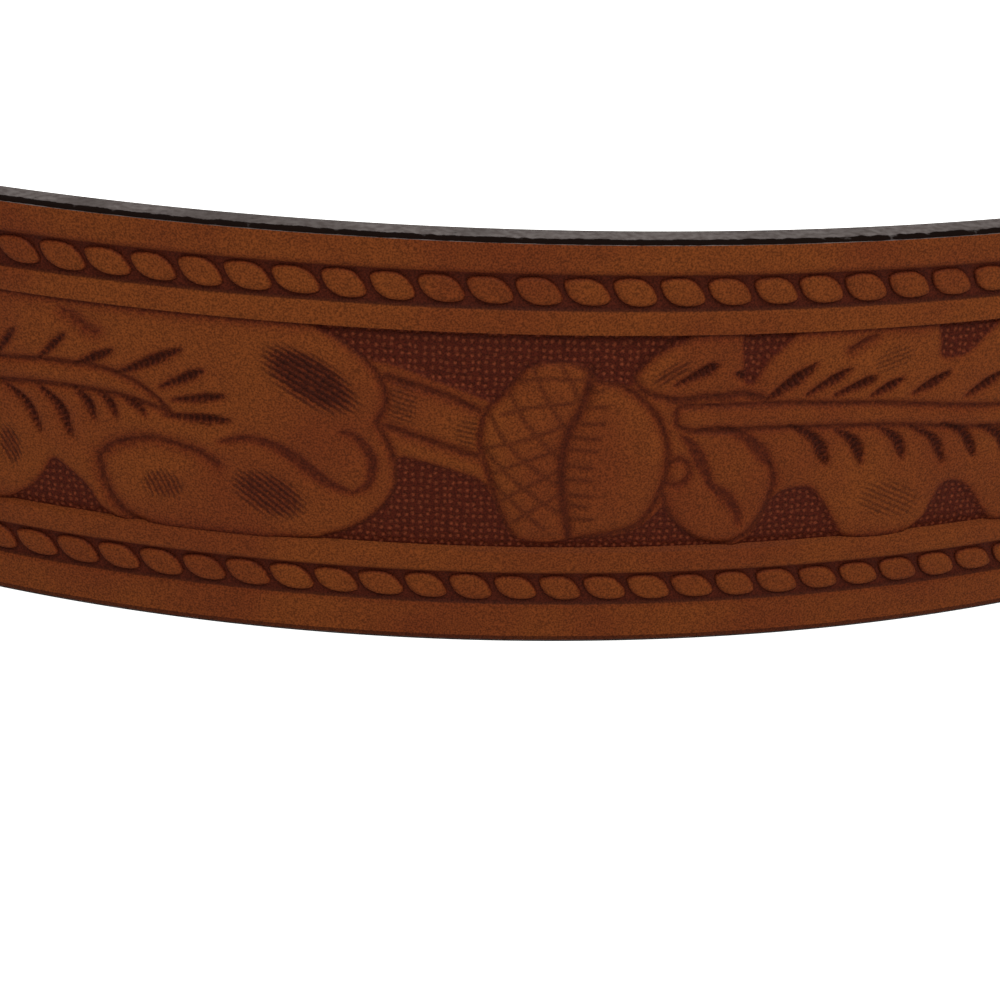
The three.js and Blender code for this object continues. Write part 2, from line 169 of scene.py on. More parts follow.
def station_rows(distance, depth, thickness=STRAP_THICKNESS, tooled=1.0):
    distance, depth, thickness, tooled = np.broadcast_arrays(
        np.asarray(distance, float), depth, thickness, tooled)
    return np.stack([distance, depth, thickness, tooled], -1)


def folded_rows():
    """Rows of distance, depth, thickness and tooled share for the fold, from its pared end."""
    flap_bend = BAR_RADIUS + GAP + FLAP_THICKNESS / 2
    outer_bend = BAR_RADIUS + GAP + STRAP_THICKNESS / 2
    flap_at = steps(HEEL_AT + FLAP_LENGTH, HEEL_AT, 1.5)
    flap_flat = FLAP_BACK_DEPTH + FLAP_THICKNESS / 2
    pinch = smooth(flap_at, HEEL_AT, HEEL_AT + FLAP_PINCH_LENGTH)
    flap_depth = HEEL_DEPTH - flap_bend + (flap_flat - HEEL_DEPTH + flap_bend) * pinch
    turn = steps(0.0, 1.0, 1 / 22)[1:]
    bend = flap_bend + (outer_bend - flap_bend) * turn
    thickness = FLAP_THICKNESS + (STRAP_THICKNESS - FLAP_THICKNESS) * turn
    return np.concatenate([
        station_rows(flap_at, flap_depth, FLAP_THICKNESS, 0.0),
        station_rows(HEEL_AT - bend * np.sin(turn * math.pi),
                     HEEL_DEPTH - bend * np.cos(turn * math.pi), thickness, turn ** 3),
    ])


def free_end_rows():
    """Rows for the free end, to just short of its tip's point."""
    past = np.concatenate([
        steps(DIPS_FROM, HEEL_AT, 1.2),
        steps(HEEL_AT, TIP_START, 1.6)[1:],
        TIP_START + TIP_LENGTH * np.sin(steps(0.0, math.pi / 2 * 0.97, 0.045)[1:]),
    ])
    return station_rows(LOOP_LENGTH + past, free_end_depth(past))


# The tooling, carved with a swivel knife and stamped: oak leaves with acorns on a matted ground.
# Each form is charted in mm along the strap (0 is the middle of the front) and up the field,
# for one repeat of the pattern; hidden stretches of the leaf follow the ones that show.
REPEAT_LENGTH = LOOP_LENGTH / 9
REPEAT_START = -42.0
CHART_MIDDLE = 0.41
TOOLING_RISE = 0.55
FIELD_HALF = 10.15
BAND_HALF = 12.3
RIM_HALF = 15.65
ROPE_MIDDLE = 13.98
ROPE_DEPTH = 0.42
FIELD_GROOVE = 0.16

MATTED_GROUNDS = {
    "over the twig and acorn": [
        (-11.2, 11.4), (-9.4, 8.9), (-8.2, 7.9), (-5.6, 7.4), (-2.5, 6.3), (1.4, 4.9), (2.8, 4.3),
        (3.6, 5.3), (5.0, 7.2), (6.6, 8.0), (9.0, 8.1), (10.6, 7.5), (11.4, 6.6), (13.0, 6.3),
        (14.3, 6.0), (14.5, 7.0), (16.0, 8.7), (17.6, 11.4)],
    "under the twig and acorn": [
        (-13.8, -10.6), (-11.4, -9.3), (-9.1, -8.4), (-7.1, -6.8), (-5.9, -5.2), (-5.2, -3.4),
        (-5.3, -1.4), (-4.4, -1.2), (-1.5, -1.9), (1.3, -2.8), (2.4, -3.6), (3.3, -5.5),
        (4.1, -7.2), (5.0, -8.5), (7.5, -9.0), (10.0, -8.7), (13.8, -8.4), (15.9, -7.6),
        (17.2, -6.4), (17.9, -5.6), (18.6, -6.6), (19.8, -7.8), (21.3, -8.9), (23.8, -10.6)],
    "right of the first upper lobe": [
        (23.9, 11.4), (28.6, 11.4), (26.9, 9.1), (26.0, 8.3), (25.4, 7.2), (24.7, 6.1),
        (24.1, 6.3), (23.9, 7.5)],
    "right of the curled leaf": [
        (24.6, -10.6), (26.2, -8.7), (27.1, -6.9), (27.6, -5.4), (28.4, -4.6), (29.8, -4.2),
        (31.2, -4.3), (32.3, -5.4), (33.6, -7.3), (34.6, -9.0), (35.6, -10.6)],
    "third upper gap": [
        (41.8, 11.4), (41.9, 8.6), (42.1, 7.6), (43.4, 7.4), (44.6, 7.8), (45.9, 9.0), (47.8, 11.4)],
    "third lower gap": [
        (41.2, -10.6), (42.9, -8.3), (43.7, -6.3), (44.4, -5.1), (45.9, -5.1), (47.4, -6.2),
        (48.6, -7.8), (50.0, -10.6)],
    "fourth upper gap": [(58.0, 11.4), (58.5, 8.4), (59.4, 7.4), (60.9, 8.0), (62.8, 11.4)],
    "fourth lower gap": [
        (54.2, -10.6), (55.8, -8.2), (56.8, -6.4), (58.2, -5.5), (59.6, -6.5), (60.8, -8.3),
        (62.4, -10.6)],
    "under the leaf tip": [
        (-42.0, -10.6), (-40.2, -9.1), (-38.3, -7.8), (-37.0, -6.2), (-36.0, -4.7), (-34.6, -5.5),
        (-32.9, -7.0), (-31.9, -8.6), (-30.4, -9.7), (-29.8, -10.6)],
}

# Knife lines: the width of the cut in mm, how far the stain and painted shade spread from it, and its points
KNIFE_LINES = {
    "twig upper": (0.45, 0.9, [(-6.4, 6.3), (-1.5, 4.9), (1.6, 3.5)]),
    "twig lower": (0.45, 0.9, [(-6.2, 1.7), (-2.1, 0.4), (1.7, -0.8)]),
    "scroll upper edge": (0.4, 0.7, [
        (-10.5, 9.6), (-8.3, 7.9), (-7.1, 6.5), (-6.4, 5.0), (-6.4, 3.5), (-7.1, 2.0)]),
    "scroll lower edge": (0.4, 0.7, [
        (-7.1, 2.0), (-6.3, 0.5), (-5.5, -1.6), (-5.3, -3.6), (-6.0, -5.4), (-7.2, -6.9),
        (-9.2, -8.4), (-11.4, -9.3)]),
    "cap left": (0.4, 0.6, [
        (5.4, 7.7), (3.8, 5.5), (2.1, 3.4), (1.7, 0.6), (2.3, -1.6), (3.1, -4.3), (4.0, -6.8),
        (5.0, -8.5)]),
    "cap top": (0.35, 0.5, [(5.4, 7.6), (7.0, 8.1), (9.0, 8.1), (10.8, 7.3)]),
    "cap rim": (0.8, 0.75, [
        (10.9, 7.4), (10.6, 5.4), (10.0, 3.4), (9.2, 1.6), (8.8, -0.8), (8.9, -3.4), (9.3, -6.0),
        (9.8, -8.4)]),
    "nut": (0.4, 0.7, [
        (11.4, 6.4), (12.9, 6.2), (14.3, 5.5), (15.7, 4.4), (16.8, 3.0), (17.6, 1.2), (18.0, -0.9),
        (17.8, -3.2), (17.0, -5.6), (15.8, -7.3), (13.8, -8.1), (10.5, -8.6)]),
    "ball": (0.2, 0.75, [
        (18.9, -0.9), (19.8, -1.5), (19.9, -2.7), (19.0, -3.5), (18.1, -3.2), (17.9, -2.3),
        (18.1, -1.4), (18.9, -0.9)]),
    "first lobe base": (0.6, 0.9, [
        (17.7, 4.7), (18.9, 4.6), (20.6, 4.9), (22.4, 4.9), (24.0, 5.1), (25.8, 4.6)]),
    "first lobe left": (0.4, 0.7, [
        (17.6, 4.8), (15.7, 5.3), (14.7, 6.2), (14.6, 7.2), (16.1, 8.9), (17.6, 10.0)]),
    "leaf curl outside": (0.4, 0.8, [
        (27.2, -1.7), (27.7, -3.2), (27.5, -4.9), (27.0, -6.6), (26.0, -8.3), (24.5, -9.3),
        (22.9, -9.4), (21.1, -8.8), (19.5, -7.5), (18.4, -6.0), (17.9, -4.4)]),
    "rib upper": (0.4, 0.6, [
        (18.3, 3.4), (18.8, 4.0), (21.0, 4.1), (26.0, 4.1), (30.0, 3.95), (38.0, 3.4), (46.0, 2.4),
        (52.0, 2.1), (58.0, 2.6), (63.0, 3.6), (66.2, 4.2)]),
    "rib lower": (0.4, 0.6, [
        (18.3, 3.3), (18.7, 2.1), (21.0, 1.65), (26.0, 1.75), (30.0, 1.65), (38.0, 1.3), (46.0, 0.3),
        (52.0, 0.0), (58.0, 0.6), (63.0, 1.5), (66.2, 2.1)]),
    "rib upper at the tip": (0.4, 0.6, [
        (-42.0, 4.2), (-40.0, 4.35), (-36.0, 4.7), (-32.0, 4.75), (-30.0, 4.5), (-28.0, 3.8),
        (-26.2, 2.6), (-24.9, 1.3)]),
    "rib lower at the tip": (0.4, 0.6, [
        (-42.0, 2.1), (-40.0, 2.2), (-36.0, 2.5), (-32.0, 2.5), (-30.0, 2.4), (-28.0, 2.1),
        (-26.4, 1.7), (-24.9, 1.3)]),
    "lobe over the mat": (0.35, 1.1, [
        (-31.6, -3.7), (-30.2, -2.4), (-28.0, -1.6), (-26.1, -1.4), (-23.9, -1.8), (-22.4, -2.2),
        (-20.9, -3.2)]),
    "lobe left": (0.5, 1.1, [(-31.6, -3.7), (-31.4, -5.6), (-30.6, -7.7), (-29.3, -9.1), (-27.9, -9.8)]),
    "upper notch": (0.1, 1.2, [(-33.9, 9.4), (-32.9, 9.0), (-32.0, 8.2), (-31.2, 8.0)]),
    "fourth notch": (0.4, 0.9, [(35.4, 9.8), (34.2, 9.3), (33.3, 8.7)]),
}

# Fine lines of the lining tool, with a little stain and painted shade beside them: over the cap, and round
# the nut's rim
FINE_LINE_WIDTH = 0.42
FINE_LINES = [
    [(3.4, 3.3), (6.0, 4.1), (10.0, 4.5)], [(2.1, 0.1), (5.0, 0.9), (8.9, 2.3)],
    [(2.9, -2.3), (5.0, -1.2), (8.6, 0.1)], [(3.9, -4.8), (6.0, -3.3), (8.6, -2.0)],
    [(4.9, -6.9), (6.6, -5.6), (8.9, -4.3)], [(8.2, 7.9), (9.2, 6.3), (9.9, 4.6)],
    [(6.0, 7.4), (7.0, 5.2), (8.9, 1.9)], [(4.0, 5.4), (5.6, 2.5), (8.5, -0.9)],
    [(2.4, 3.4), (4.2, 0.4), (8.5, -3.5)], [(2.0, 0.2), (4.6, -2.7), (8.9, -6.2)],
    [(2.8, -3.1), (5.0, -5.2), (7.6, -7.6)], [(4.6, 6.3), (7.0, 6.7), (10.4, 6.5)],
    [(10.8, 5.4), (11.9, 5.6)], [(10.4, 3.9), (12.2, 4.2)], [(9.9, 2.5), (12.1, 2.6)],
    [(9.6, 1.2), (11.8, 1.2)], [(9.3, 0.1), (11.6, 0.0)], [(9.3, -1.5), (11.4, -1.6)],
    [(9.3, -2.8), (11.2, -2.8)], [(9.5, -4.3), (11.5, -4.3)], [(9.6, -5.3), (11.1, -5.4)],
    [(9.8, -6.7), (11.7, -6.6)],
]

# Strokes of the bevel and vein stamps: start, end, widest, and where along it is widest
STAMPED_STROKES = [
    (-40.6, 4.6, -38.8, 7.1, 0.4, 0.6), (-36.6, 4.8, -34.1, 7.3, 0.45, 0.6),
    (-33.2, 4.7, -29.9, 6.4, 0.6, 0.6), (-29.4, 4.4, -23.8, 7.2, 0.7, 0.6),
    (-25.6, 3.6, -21.9, 5.5, 0.65, 0.7), (-24.6, 2.5, -20.2, 3.3, 0.55, 0.7),
    (-25.4, 1.0, -19.8, 1.1, 0.65, 0.7),
    (26.2, 4.5, 30.2, 7.5, 0.95, 0.6), (29.8, 4.8, 33.4, 6.9, 0.65, 0.7),
    (32.4, 4.6, 35.9, 6.0, 0.65, 0.8), (35.8, 4.3, 38.5, 5.7, 0.65, 0.6),
    (39.8, 4.2, 43.0, 5.9, 0.7, 0.6), (45.2, 3.5, 48.5, 5.4, 0.7, 0.6),
    (49.3, 3.2, 52.5, 5.6, 0.75, 0.6), (53.2, 3.1, 56.3, 5.6, 0.75, 0.6),
    (57.3, 3.4, 60.4, 6.1, 0.75, 0.6), (61.3, 4.0, 64.4, 6.7, 0.7, 0.6),
    (-40.4, 2.1, -37.0, -2.0, 0.5, 0.6), (-37.0, 2.3, -34.1, -2.0, 0.7, 0.6),
    (-33.6, 2.5, -31.8, -0.1, 0.6, 0.6), (-31.3, 2.4, -29.8, 0.4, 0.55, 0.6),
    (-28.9, 2.0, -27.1, 0.8, 0.5, 0.6),
    (28.6, 1.9, 32.4, -1.9, 0.85, 0.75), (32.8, 1.3, 35.7, -2.0, 0.8, 0.7),
    (36.9, 1.2, 39.7, -1.9, 0.7, 0.7), (40.2, 0.9, 43.8, -2.7, 0.6, 0.7),
    (43.2, 1.0, 47.0, -2.5, 0.65, 0.7), (47.2, 0.3, 50.7, -3.0, 0.75, 0.7),
    (51.4, 0.1, 54.5, -3.1, 0.75, 0.7), (55.4, 0.3, 58.5, -2.7, 0.75, 0.7),
    (59.4, 0.9, 62.4, -2.3, 0.75, 0.7), (63.2, 1.6, 66.0, -1.7, 0.7, 0.7),
    (18.1, 6.1, 21.5, 7.9, 0.75, 0.85), (23.2, 7.0, 24.0, 6.6, 0.7, 0.5),
]

# Curved strokes, as a row of points with the widest width and where it is widest
CURVED_STROKES = [
    (0.95, 0.85, [(20.6, 1.9), (22.2, 1.9), (23.6, 1.6), (24.9, 0.8), (26.2, -0.5), (27.2, -1.8)]),
    (0.9, 0.4, [(21.7, -3.3), (23.0, -4.3), (23.9, -5.2), (24.6, -6.3), (25.0, -7.5)]),
    (0.9, 0.5, [(18.9, 1.4), (20.1, 0.2), (20.9, -1.2), (21.6, -2.6), (22.2, -3.6)]),
    (0.85, 0.65, [(-20.6, -1.0), (-18.8, -0.5), (-17.2, -0.5), (-15.6, -1.0), (-14.0, -1.9),
                  (-12.9, -2.8), (-11.8, -3.6), (-10.4, -4.4), (-9.0, -4.8)]),
    (0.7, 0.5, [(-9.0, -4.8), (-7.8, -4.0), (-7.4, -2.7), (-7.5, -1.3), (-8.2, -0.1), (-9.1, 0.7),
                (-10.1, 0.9)]),
]

# Lined stamps: middle, half length, half width, tilt, angle of the lines, their pitch, how dark
LINED_STAMPS = [
    (-12.7, 5.6, 4.9, 2.4, -30.0, -31.0, 0.52, 1.0),
    (-16.3, -5.5, 3.7, 2.2, -22.0, -38.0, 0.5, 0.75),
    (-25.8, -5.6, 2.1, 1.5, 0.0, -66.0, 0.46, 0.5),
    (-40.0, -3.9, 1.2, 2.1, 10.0, -60.0, 0.45, 0.6),
    (39.0, -6.0, 3.4, 2.1, -18.0, -27.0, 0.5, 0.24),
    (37.4, 7.8, 2.1, 1.2, 18.0, 18.0, 0.46, 0.2),
    (53.0, -6.6, 3.0, 1.9, -15.0, -27.0, 0.5, 0.24),
    (52.2, 7.6, 2.4, 1.3, 18.0, 18.0, 0.46, 0.2),
    (-4.9, 3.9, 1.4, 2.1, 0.0, -16.0, 0.46, 0.3),
    (0.6, 1.5, 1.1, 1.6, 0.0, -14.0, 0.46, 0.3),
    (17.6, 7.2, 2.0, 0.8, 33.0, 33.0, 0.5, 0.5),
]

ACORN_CAP = [
    (5.3, 7.6), (3.9, 5.4), (2.2, 3.3), (1.8, 0.6), (2.4, -1.7), (3.2, -4.4), (4.1, -6.8),
    (5.1, -8.4), (7.5, -8.7), (9.3, -8.2), (8.8, -5.8), (8.4, -3.3), (8.4, -0.6), (8.8, 1.8),
    (9.6, 3.6), (10.1, 5.6), (10.3, 7.2), (8.9, 7.9), (7.0, 8.0)]
ACORN_NUT = [
    (10.8, 6.2), (12.8, 6.1), (14.2, 5.5), (15.6, 4.4), (16.7, 3.1), (17.5, 1.3), (17.9, -0.8),
    (17.7, -3.1), (16.9, -5.5), (15.7, -7.2), (13.8, -7.9), (10.4, -8.2), (9.7, -5.6), (9.4, -3.0),
    (9.4, -0.6), (9.8, 1.6), (10.5, 3.6)]
ACORN_BALL = [
    (18.9, -1.0), (19.7, -1.6), (19.8, -2.6), (19.0, -3.4), (18.2, -3.1), (18.0, -2.2), (18.2, -1.4)]

# The rungs of a vein stamp, the seeds of the matting stamp, and how wide a band the masks grade over
LADDER_PITCH = 0.56
SEED_PITCH = 0.66
MASK_SPREAD = 1.2

# How deep in mm each tool presses the leather, below a face that is itself a little under the bands
FACE_DEPTH = 0.08
BEVEL_DEPTH = 0.26
GROUND_DEPTH = 0.26
CUT_DEPTH = 0.16
FINE_LINE_DEPTH = 0.12
STROKE_DEPTH = 0.26
HOLLOW_DEPTH = 0.2


def curved(points, closed, parts=5):
    """The same outline with its corners rounded, as a Catmull-Rom curve through its points."""
    points = np.asarray(points, float)
    if closed:
        padded = np.concatenate([points[-1:], points, points[:2]])
    else:
        padded = np.concatenate([2 * points[:1] - points[1:2], points, 2 * points[-1:] - points[-2:-1]])
    share = np.linspace(0.0, 1.0, parts, endpoint=False)[:, None]
    rows = []
    for a, b, c, d in zip(padded[:-3], padded[1:-2], padded[2:-1], padded[3:]):
        rows.append(0.5 * (2 * b + (c - a) * share + (2 * a - 5 * b + 4 * c - d) * share ** 2
                           + (3 * b - a - 3 * c + d) * share ** 3))
    return np.concatenate(rows if closed else rows + [points[-1:]])


def line_distance(at, line, closed=False):
    """Distance from each point to a line of points, and how far along the line the nearest spot is."""
    ends = np.roll(line, -1, axis=0) if closed else line[1:]
    starts = line if closed else line[:-1]
    best = np.full(len(at), 1e9)
    along = np.zeros(len(at))
    lengths = np.linalg.norm(ends - starts, axis=1)
    done = 0.0
    for start, stop, length in zip(starts, ends, lengths):
        reach = np.clip(((at - start) @ (stop - start)) / max(length ** 2, 1e-9), 0.0, 1.0)
        gap = np.linalg.norm(at - start - reach[:, None] * (stop - start), axis=1)
        nearer = gap < best
        best[nearer] = gap[nearer]
        along[nearer] = done + reach[nearer] * length
        done += length
    return best, along / lengths.sum()


def inside_distance(at, outline):
    """How far inside a closed outline each point is, below 0 outside it."""
    gap, _ = line_distance(at, outline, closed=True)
    crossings = np.zeros(len(at), int)
    for (x0, y0), (x1, y1) in zip(outline, np.roll(outline, -1, axis=0)):
        spans = (y0 > at[:, 1]) != (y1 > at[:, 1])
        cut_x = x0 + (at[:, 1] - y0) * (x1 - x0) / (y1 - y0 if y1 != y0 else 1e-9)
        crossings += spans & (at[:, 0] < cut_x)
    return np.where(crossings % 2 == 1, gap, -gap)


def near(at, points, margin):
    """Which points lie within a margin of a form's box."""
    points = np.asarray(points, float)
    low = points.min(axis=0) - margin
    high = points.max(axis=0) + margin
    return np.flatnonzero(((at > low) & (at < high)).all(axis=1))


def bowed(x0, y0, x1, y1):
    """The middle line of a straight stamp's stroke, bowed outwards where it runs down from the rib."""
    bow = 0.14 if y1 < y0 else 0.0
    middle = ((x0 + x1) / 2 - (y1 - y0) * bow, (y0 + y1) / 2 + (x1 - x0) * bow)
    return curved([(x0, y0), middle, (x1, y1)], False, 3)


def tooling(along, height):
    """The tooled field: its depth in mm, and the masks that its finish follows."""
    at = np.stack([along, height + CHART_MIDDLE], -1)
    ground, cut, stroke, fine = (np.full(len(at), -3.0) for _ in range(4))
    lined, phase, hollow, stain_and_shade, bevel = (np.zeros(len(at)) for _ in range(5))
    depth = np.full(len(at), -FACE_DEPTH)
    for outline in MATTED_GROUNDS.values():
        rows = near(at, outline, 2.5)
        ground[rows] = np.maximum(ground[rows], inside_distance(at[rows], curved(outline, True, 4)))
    for width, soft, points in KNIFE_LINES.values():
        rows = near(at, points, 4.0)
        gap, _ = line_distance(at[rows], curved(points, False, 4))
        cut[rows] = np.maximum(cut[rows], width / 2 - gap)
        spread = np.exp(-(gap / soft) ** 1.5)
        stain_and_shade[rows] = np.maximum(stain_and_shade[rows], 0.75 * spread)
        bevel[rows] = np.maximum(bevel[rows], spread)
    for points in FINE_LINES:
        rows = near(at, points, 1.5)
        gap, _ = line_distance(at[rows], curved(points, False, 4))
        fine[rows] = np.maximum(fine[rows], FINE_LINE_WIDTH / 2 - gap)
        stain_and_shade[rows] = np.maximum(stain_and_shade[rows], 0.45 * np.exp(-gap / 0.35))
    strokes = [(width, widest, bowed(*ends), 1.0, 1.0) for *ends, width, widest in STAMPED_STROKES]
    strokes += [(width, widest, curved(points, False, 4), 0.0, 0.0)
                for width, widest, points in CURVED_STROKES]
    for width, widest, points, rungs, deepest in strokes:
        rows = near(at, points, 2.5)
        gap, share = line_distance(at[rows], points)
        swell = np.where(share < widest, share / widest, (1.0 - share) / (1.0 - widest))
        inside = np.minimum(width / 2 * np.clip(swell, 0.02, 1.0) ** 0.65 - gap, deepest)
        here = inside > stroke[rows]
        stroke[rows[here]] = inside[here]
        length = np.linalg.norm(np.diff(points, axis=0), axis=1).sum()
        marked = here & (inside > -0.25)
        lined[rows[marked]] = smooth(inside[marked], -0.25, 0.1) * rungs
        phase[rows[marked]] = share[marked] * length / LADDER_PITCH
    for middle_x, middle_y, half_long, half_wide, tilt, line_angle, pitch, dark in LINED_STAMPS:
        rows = near(at, [(middle_x, middle_y)], max(half_long, half_wide) + 1.0)
        away = at[rows] - (middle_x, middle_y)
        turn, line_turn = math.radians(tilt), math.radians(line_angle)
        long_way = (away[:, 0] * math.cos(turn) + away[:, 1] * math.sin(turn)) / half_long
        wide_way = (-away[:, 0] * math.sin(turn) + away[:, 1] * math.cos(turn)) / half_wide
        inside = 1.0 - np.hypot(long_way, wide_way)
        lines = (-away[:, 0] * math.sin(line_turn) + away[:, 1] * math.cos(line_turn)) / pitch
        here = (inside > -0.15) & (stroke[rows] < 0.0)
        lined[rows[here]] = (0.4 + 0.6 * dark) * smooth(inside[here], -0.15, 0.3)
        phase[rows[here]] = lines[here]
        hollow[rows] = np.maximum(hollow[rows], dark * smooth(inside, -0.1, 0.5))
    for outline, bulge, reach in ((ACORN_CAP, 0.4, 1.8), (ACORN_NUT, 0.5, 2.8), (ACORN_BALL, 0.3, 0.7)):
        rows = near(at, outline, 1.0)
        inside = inside_distance(at[rows], curved(outline, True, 4))
        depth[rows] += bulge * (1.0 - np.exp(-np.clip(inside, 0.0, None) / reach)) - 0.1 * (inside > 0)
    beside = np.clip(-np.maximum(ground, stroke - 0.2), 0.0, None)
    from_edge = np.clip(FIELD_HALF - np.abs(height), 0.0, None)
    depth -= BEVEL_DEPTH * np.maximum(bevel, np.exp(-beside / 0.7))
    depth -= GROUND_DEPTH * smooth(ground, -0.1, 0.4)
    depth -= CUT_DEPTH * smooth(cut, -0.25, 0.15) * (ground < 0.4)
    depth -= FINE_LINE_DEPTH * smooth(fine, -0.2, 0.15)
    depth -= STROKE_DEPTH * smooth(stroke, -0.3, 0.35)
    depth -= HOLLOW_DEPTH * hollow
    depth -= FIELD_GROOVE * np.exp(-from_edge / 0.5)
    # Stain and painted shade beside the knife lines, strokes, matted ground, hollows and the field's edges
    stain_and_shade = np.maximum.reduce([
        stain_and_shade, 0.8 * np.exp(-np.clip(-stroke, 0.0, None) / 0.45),
        0.8 * np.exp(-np.clip(-ground, 0.0, None) / 0.45), 0.9 * hollow, 0.9 * np.exp(-from_edge / 0.8)])
    masks = {"matted": ground, "cut": np.maximum(cut, fine), "stroke": stroke}
    masks = {key: np.clip(0.5 + value / MASK_SPREAD, 0.0, 1.0) for key, value in masks.items()}
    return {"depth": depth, "lined": lined, "phase": phase, "stain_and_shade": stain_and_shade, **masks}


# The strap's mesh: an outline across the strap carried along its run, with the border pressed in.
# The tooled field is laid in it as three finely divided stretches, so that no mesh grows too large.
FIELD_FROM = 125.0
FIELD_TO = LOOP_LENGTH - 62.0
FIELD_BED = 0.9
PLAIN_FIELD_DEPTH = 0.2
TOOLED, EDGE, FLESH = 0, 1, 2


def mesh_object(name, vertices, faces, materials=(), face_materials=None):
    """An object at the origin from points in mm and faces. Its end caps, which have many corners,
    stay flat."""
    mesh = bpy.data.meshes.new(name)
    mesh.from_pydata((np.asarray(vertices) * MM).tolist(), [], faces)
    for material in materials:
        mesh.materials.append(material)
    if face_materials is not None:
        mesh.polygons.foreach_set("material_index", np.asarray(face_materials, np.int32))
    mesh.polygons.foreach_set("use_smooth", [len(face) <= 4 for face in faces])
    mesh.update()
    made = bpy.data.objects.new(name, mesh)
    bpy.context.scene.collection.objects.link(made)
    return made


def set_masks(piece, masks):
    for key, values in masks.items():
        layer = piece.data.attributes.new(key, "FLOAT", "POINT")
        layer.data.foreach_set("value", np.asarray(values, np.float32).ravel())


def across():
    """The outline across the strap: rows of height, depth below its face, and which surface.
    On the face the heights are half widths, which the tooling's rise moves later."""
    half = np.concatenate([
        steps(0.0, FIELD_HALF - 0.1, 1.2),
        FIELD_HALF + np.array([0.12, 0.18, 0.4, 0.9]),
        BAND_HALF + np.array([-0.35, -0.08, 0.1, 0.35]), [ROPE_MIDDLE],
        RIM_HALF + np.array([-0.35, -0.1, 0.08, 0.35]),
        steps(RIM_HALF + 0.9, HALF_STRAP - 0.8, 1.0), [HALF_STRAP - 0.66],
    ])
    face = [(height, 0.0, TOOLED) for height in np.concatenate([-half[::-1], half[1:]])]
    rounding = ((0.34, 0.0, TOOLED), (0.28, 0.03, EDGE), (0.12, 0.14, EDGE), (0.02, 0.38, EDGE),
                (0.0, 0.75, EDGE), (0.0, 1.3, EDGE), (0.0, 2.0, EDGE), (0.03, 2.6, EDGE),
                (0.12, 2.86, EDGE), (0.35, 3.0, FLESH))
    top = [(HALF_STRAP - inward, below, surface) for inward, below, surface in rounding]
    back = [(height, 3.0, FLESH) for height in np.linspace(top[-1][0], -top[-1][0], 5)[1:-1]]
    low = [(-height, below, surface) for height, below, surface in top[::-1]]
    return face + top + back + low


def channel_share(inset):
    """How far each point lies in the rope's channel, between the band and the rim."""
    inner_wall = smooth(inset, BAND_HALF - 0.08, BAND_HALF + 0.35)
    return inner_wall * (1.0 - smooth(inset, RIM_HALF - 0.35, RIM_HALF + 0.08))


def border_depth(inset):
    """The pressed border by the half width at which each point stands."""
    channel = channel_share(inset)
    roll = 0.08 * np.exp(-np.abs(inset - RIM_HALF) / 0.5) + 0.08 * np.exp(-np.abs(inset - BAND_HALF) / 0.4)
    roll += 0.5 * FIELD_GROOVE * np.exp(-np.abs(inset - FIELD_HALF) / 0.25)
    return -ROPE_DEPTH * channel - roll * (1.0 - channel)


def tip_share(past):
    """How far along the rounded tip each point is, from 0 where the tip starts to 1 at its point."""
    return np.clip((past - TIP_START) / TIP_LENGTH, 0.0, 1.0)


def edge_distance(past, height):
    """Distance in from the strap's edge, round the tip of the free end as well."""
    beyond = tip_share(past)
    radius = np.hypot(beyond, height / HALF_STRAP)
    slope = np.hypot(beyond / TIP_LENGTH, height / HALF_STRAP ** 2) / np.maximum(radius, 1e-6)
    return np.where(beyond > 0.0, (1.0 - radius) / np.maximum(slope, 1e-6), HALF_STRAP - np.abs(height))


def rise_at(distance):
    """How far the tooling stands above the strap's middle line: it wanders up a little at the front."""
    return TOOLING_RISE * (1.0 - smooth(np.abs(distance - FRONT_AT), 90.0, 220.0))


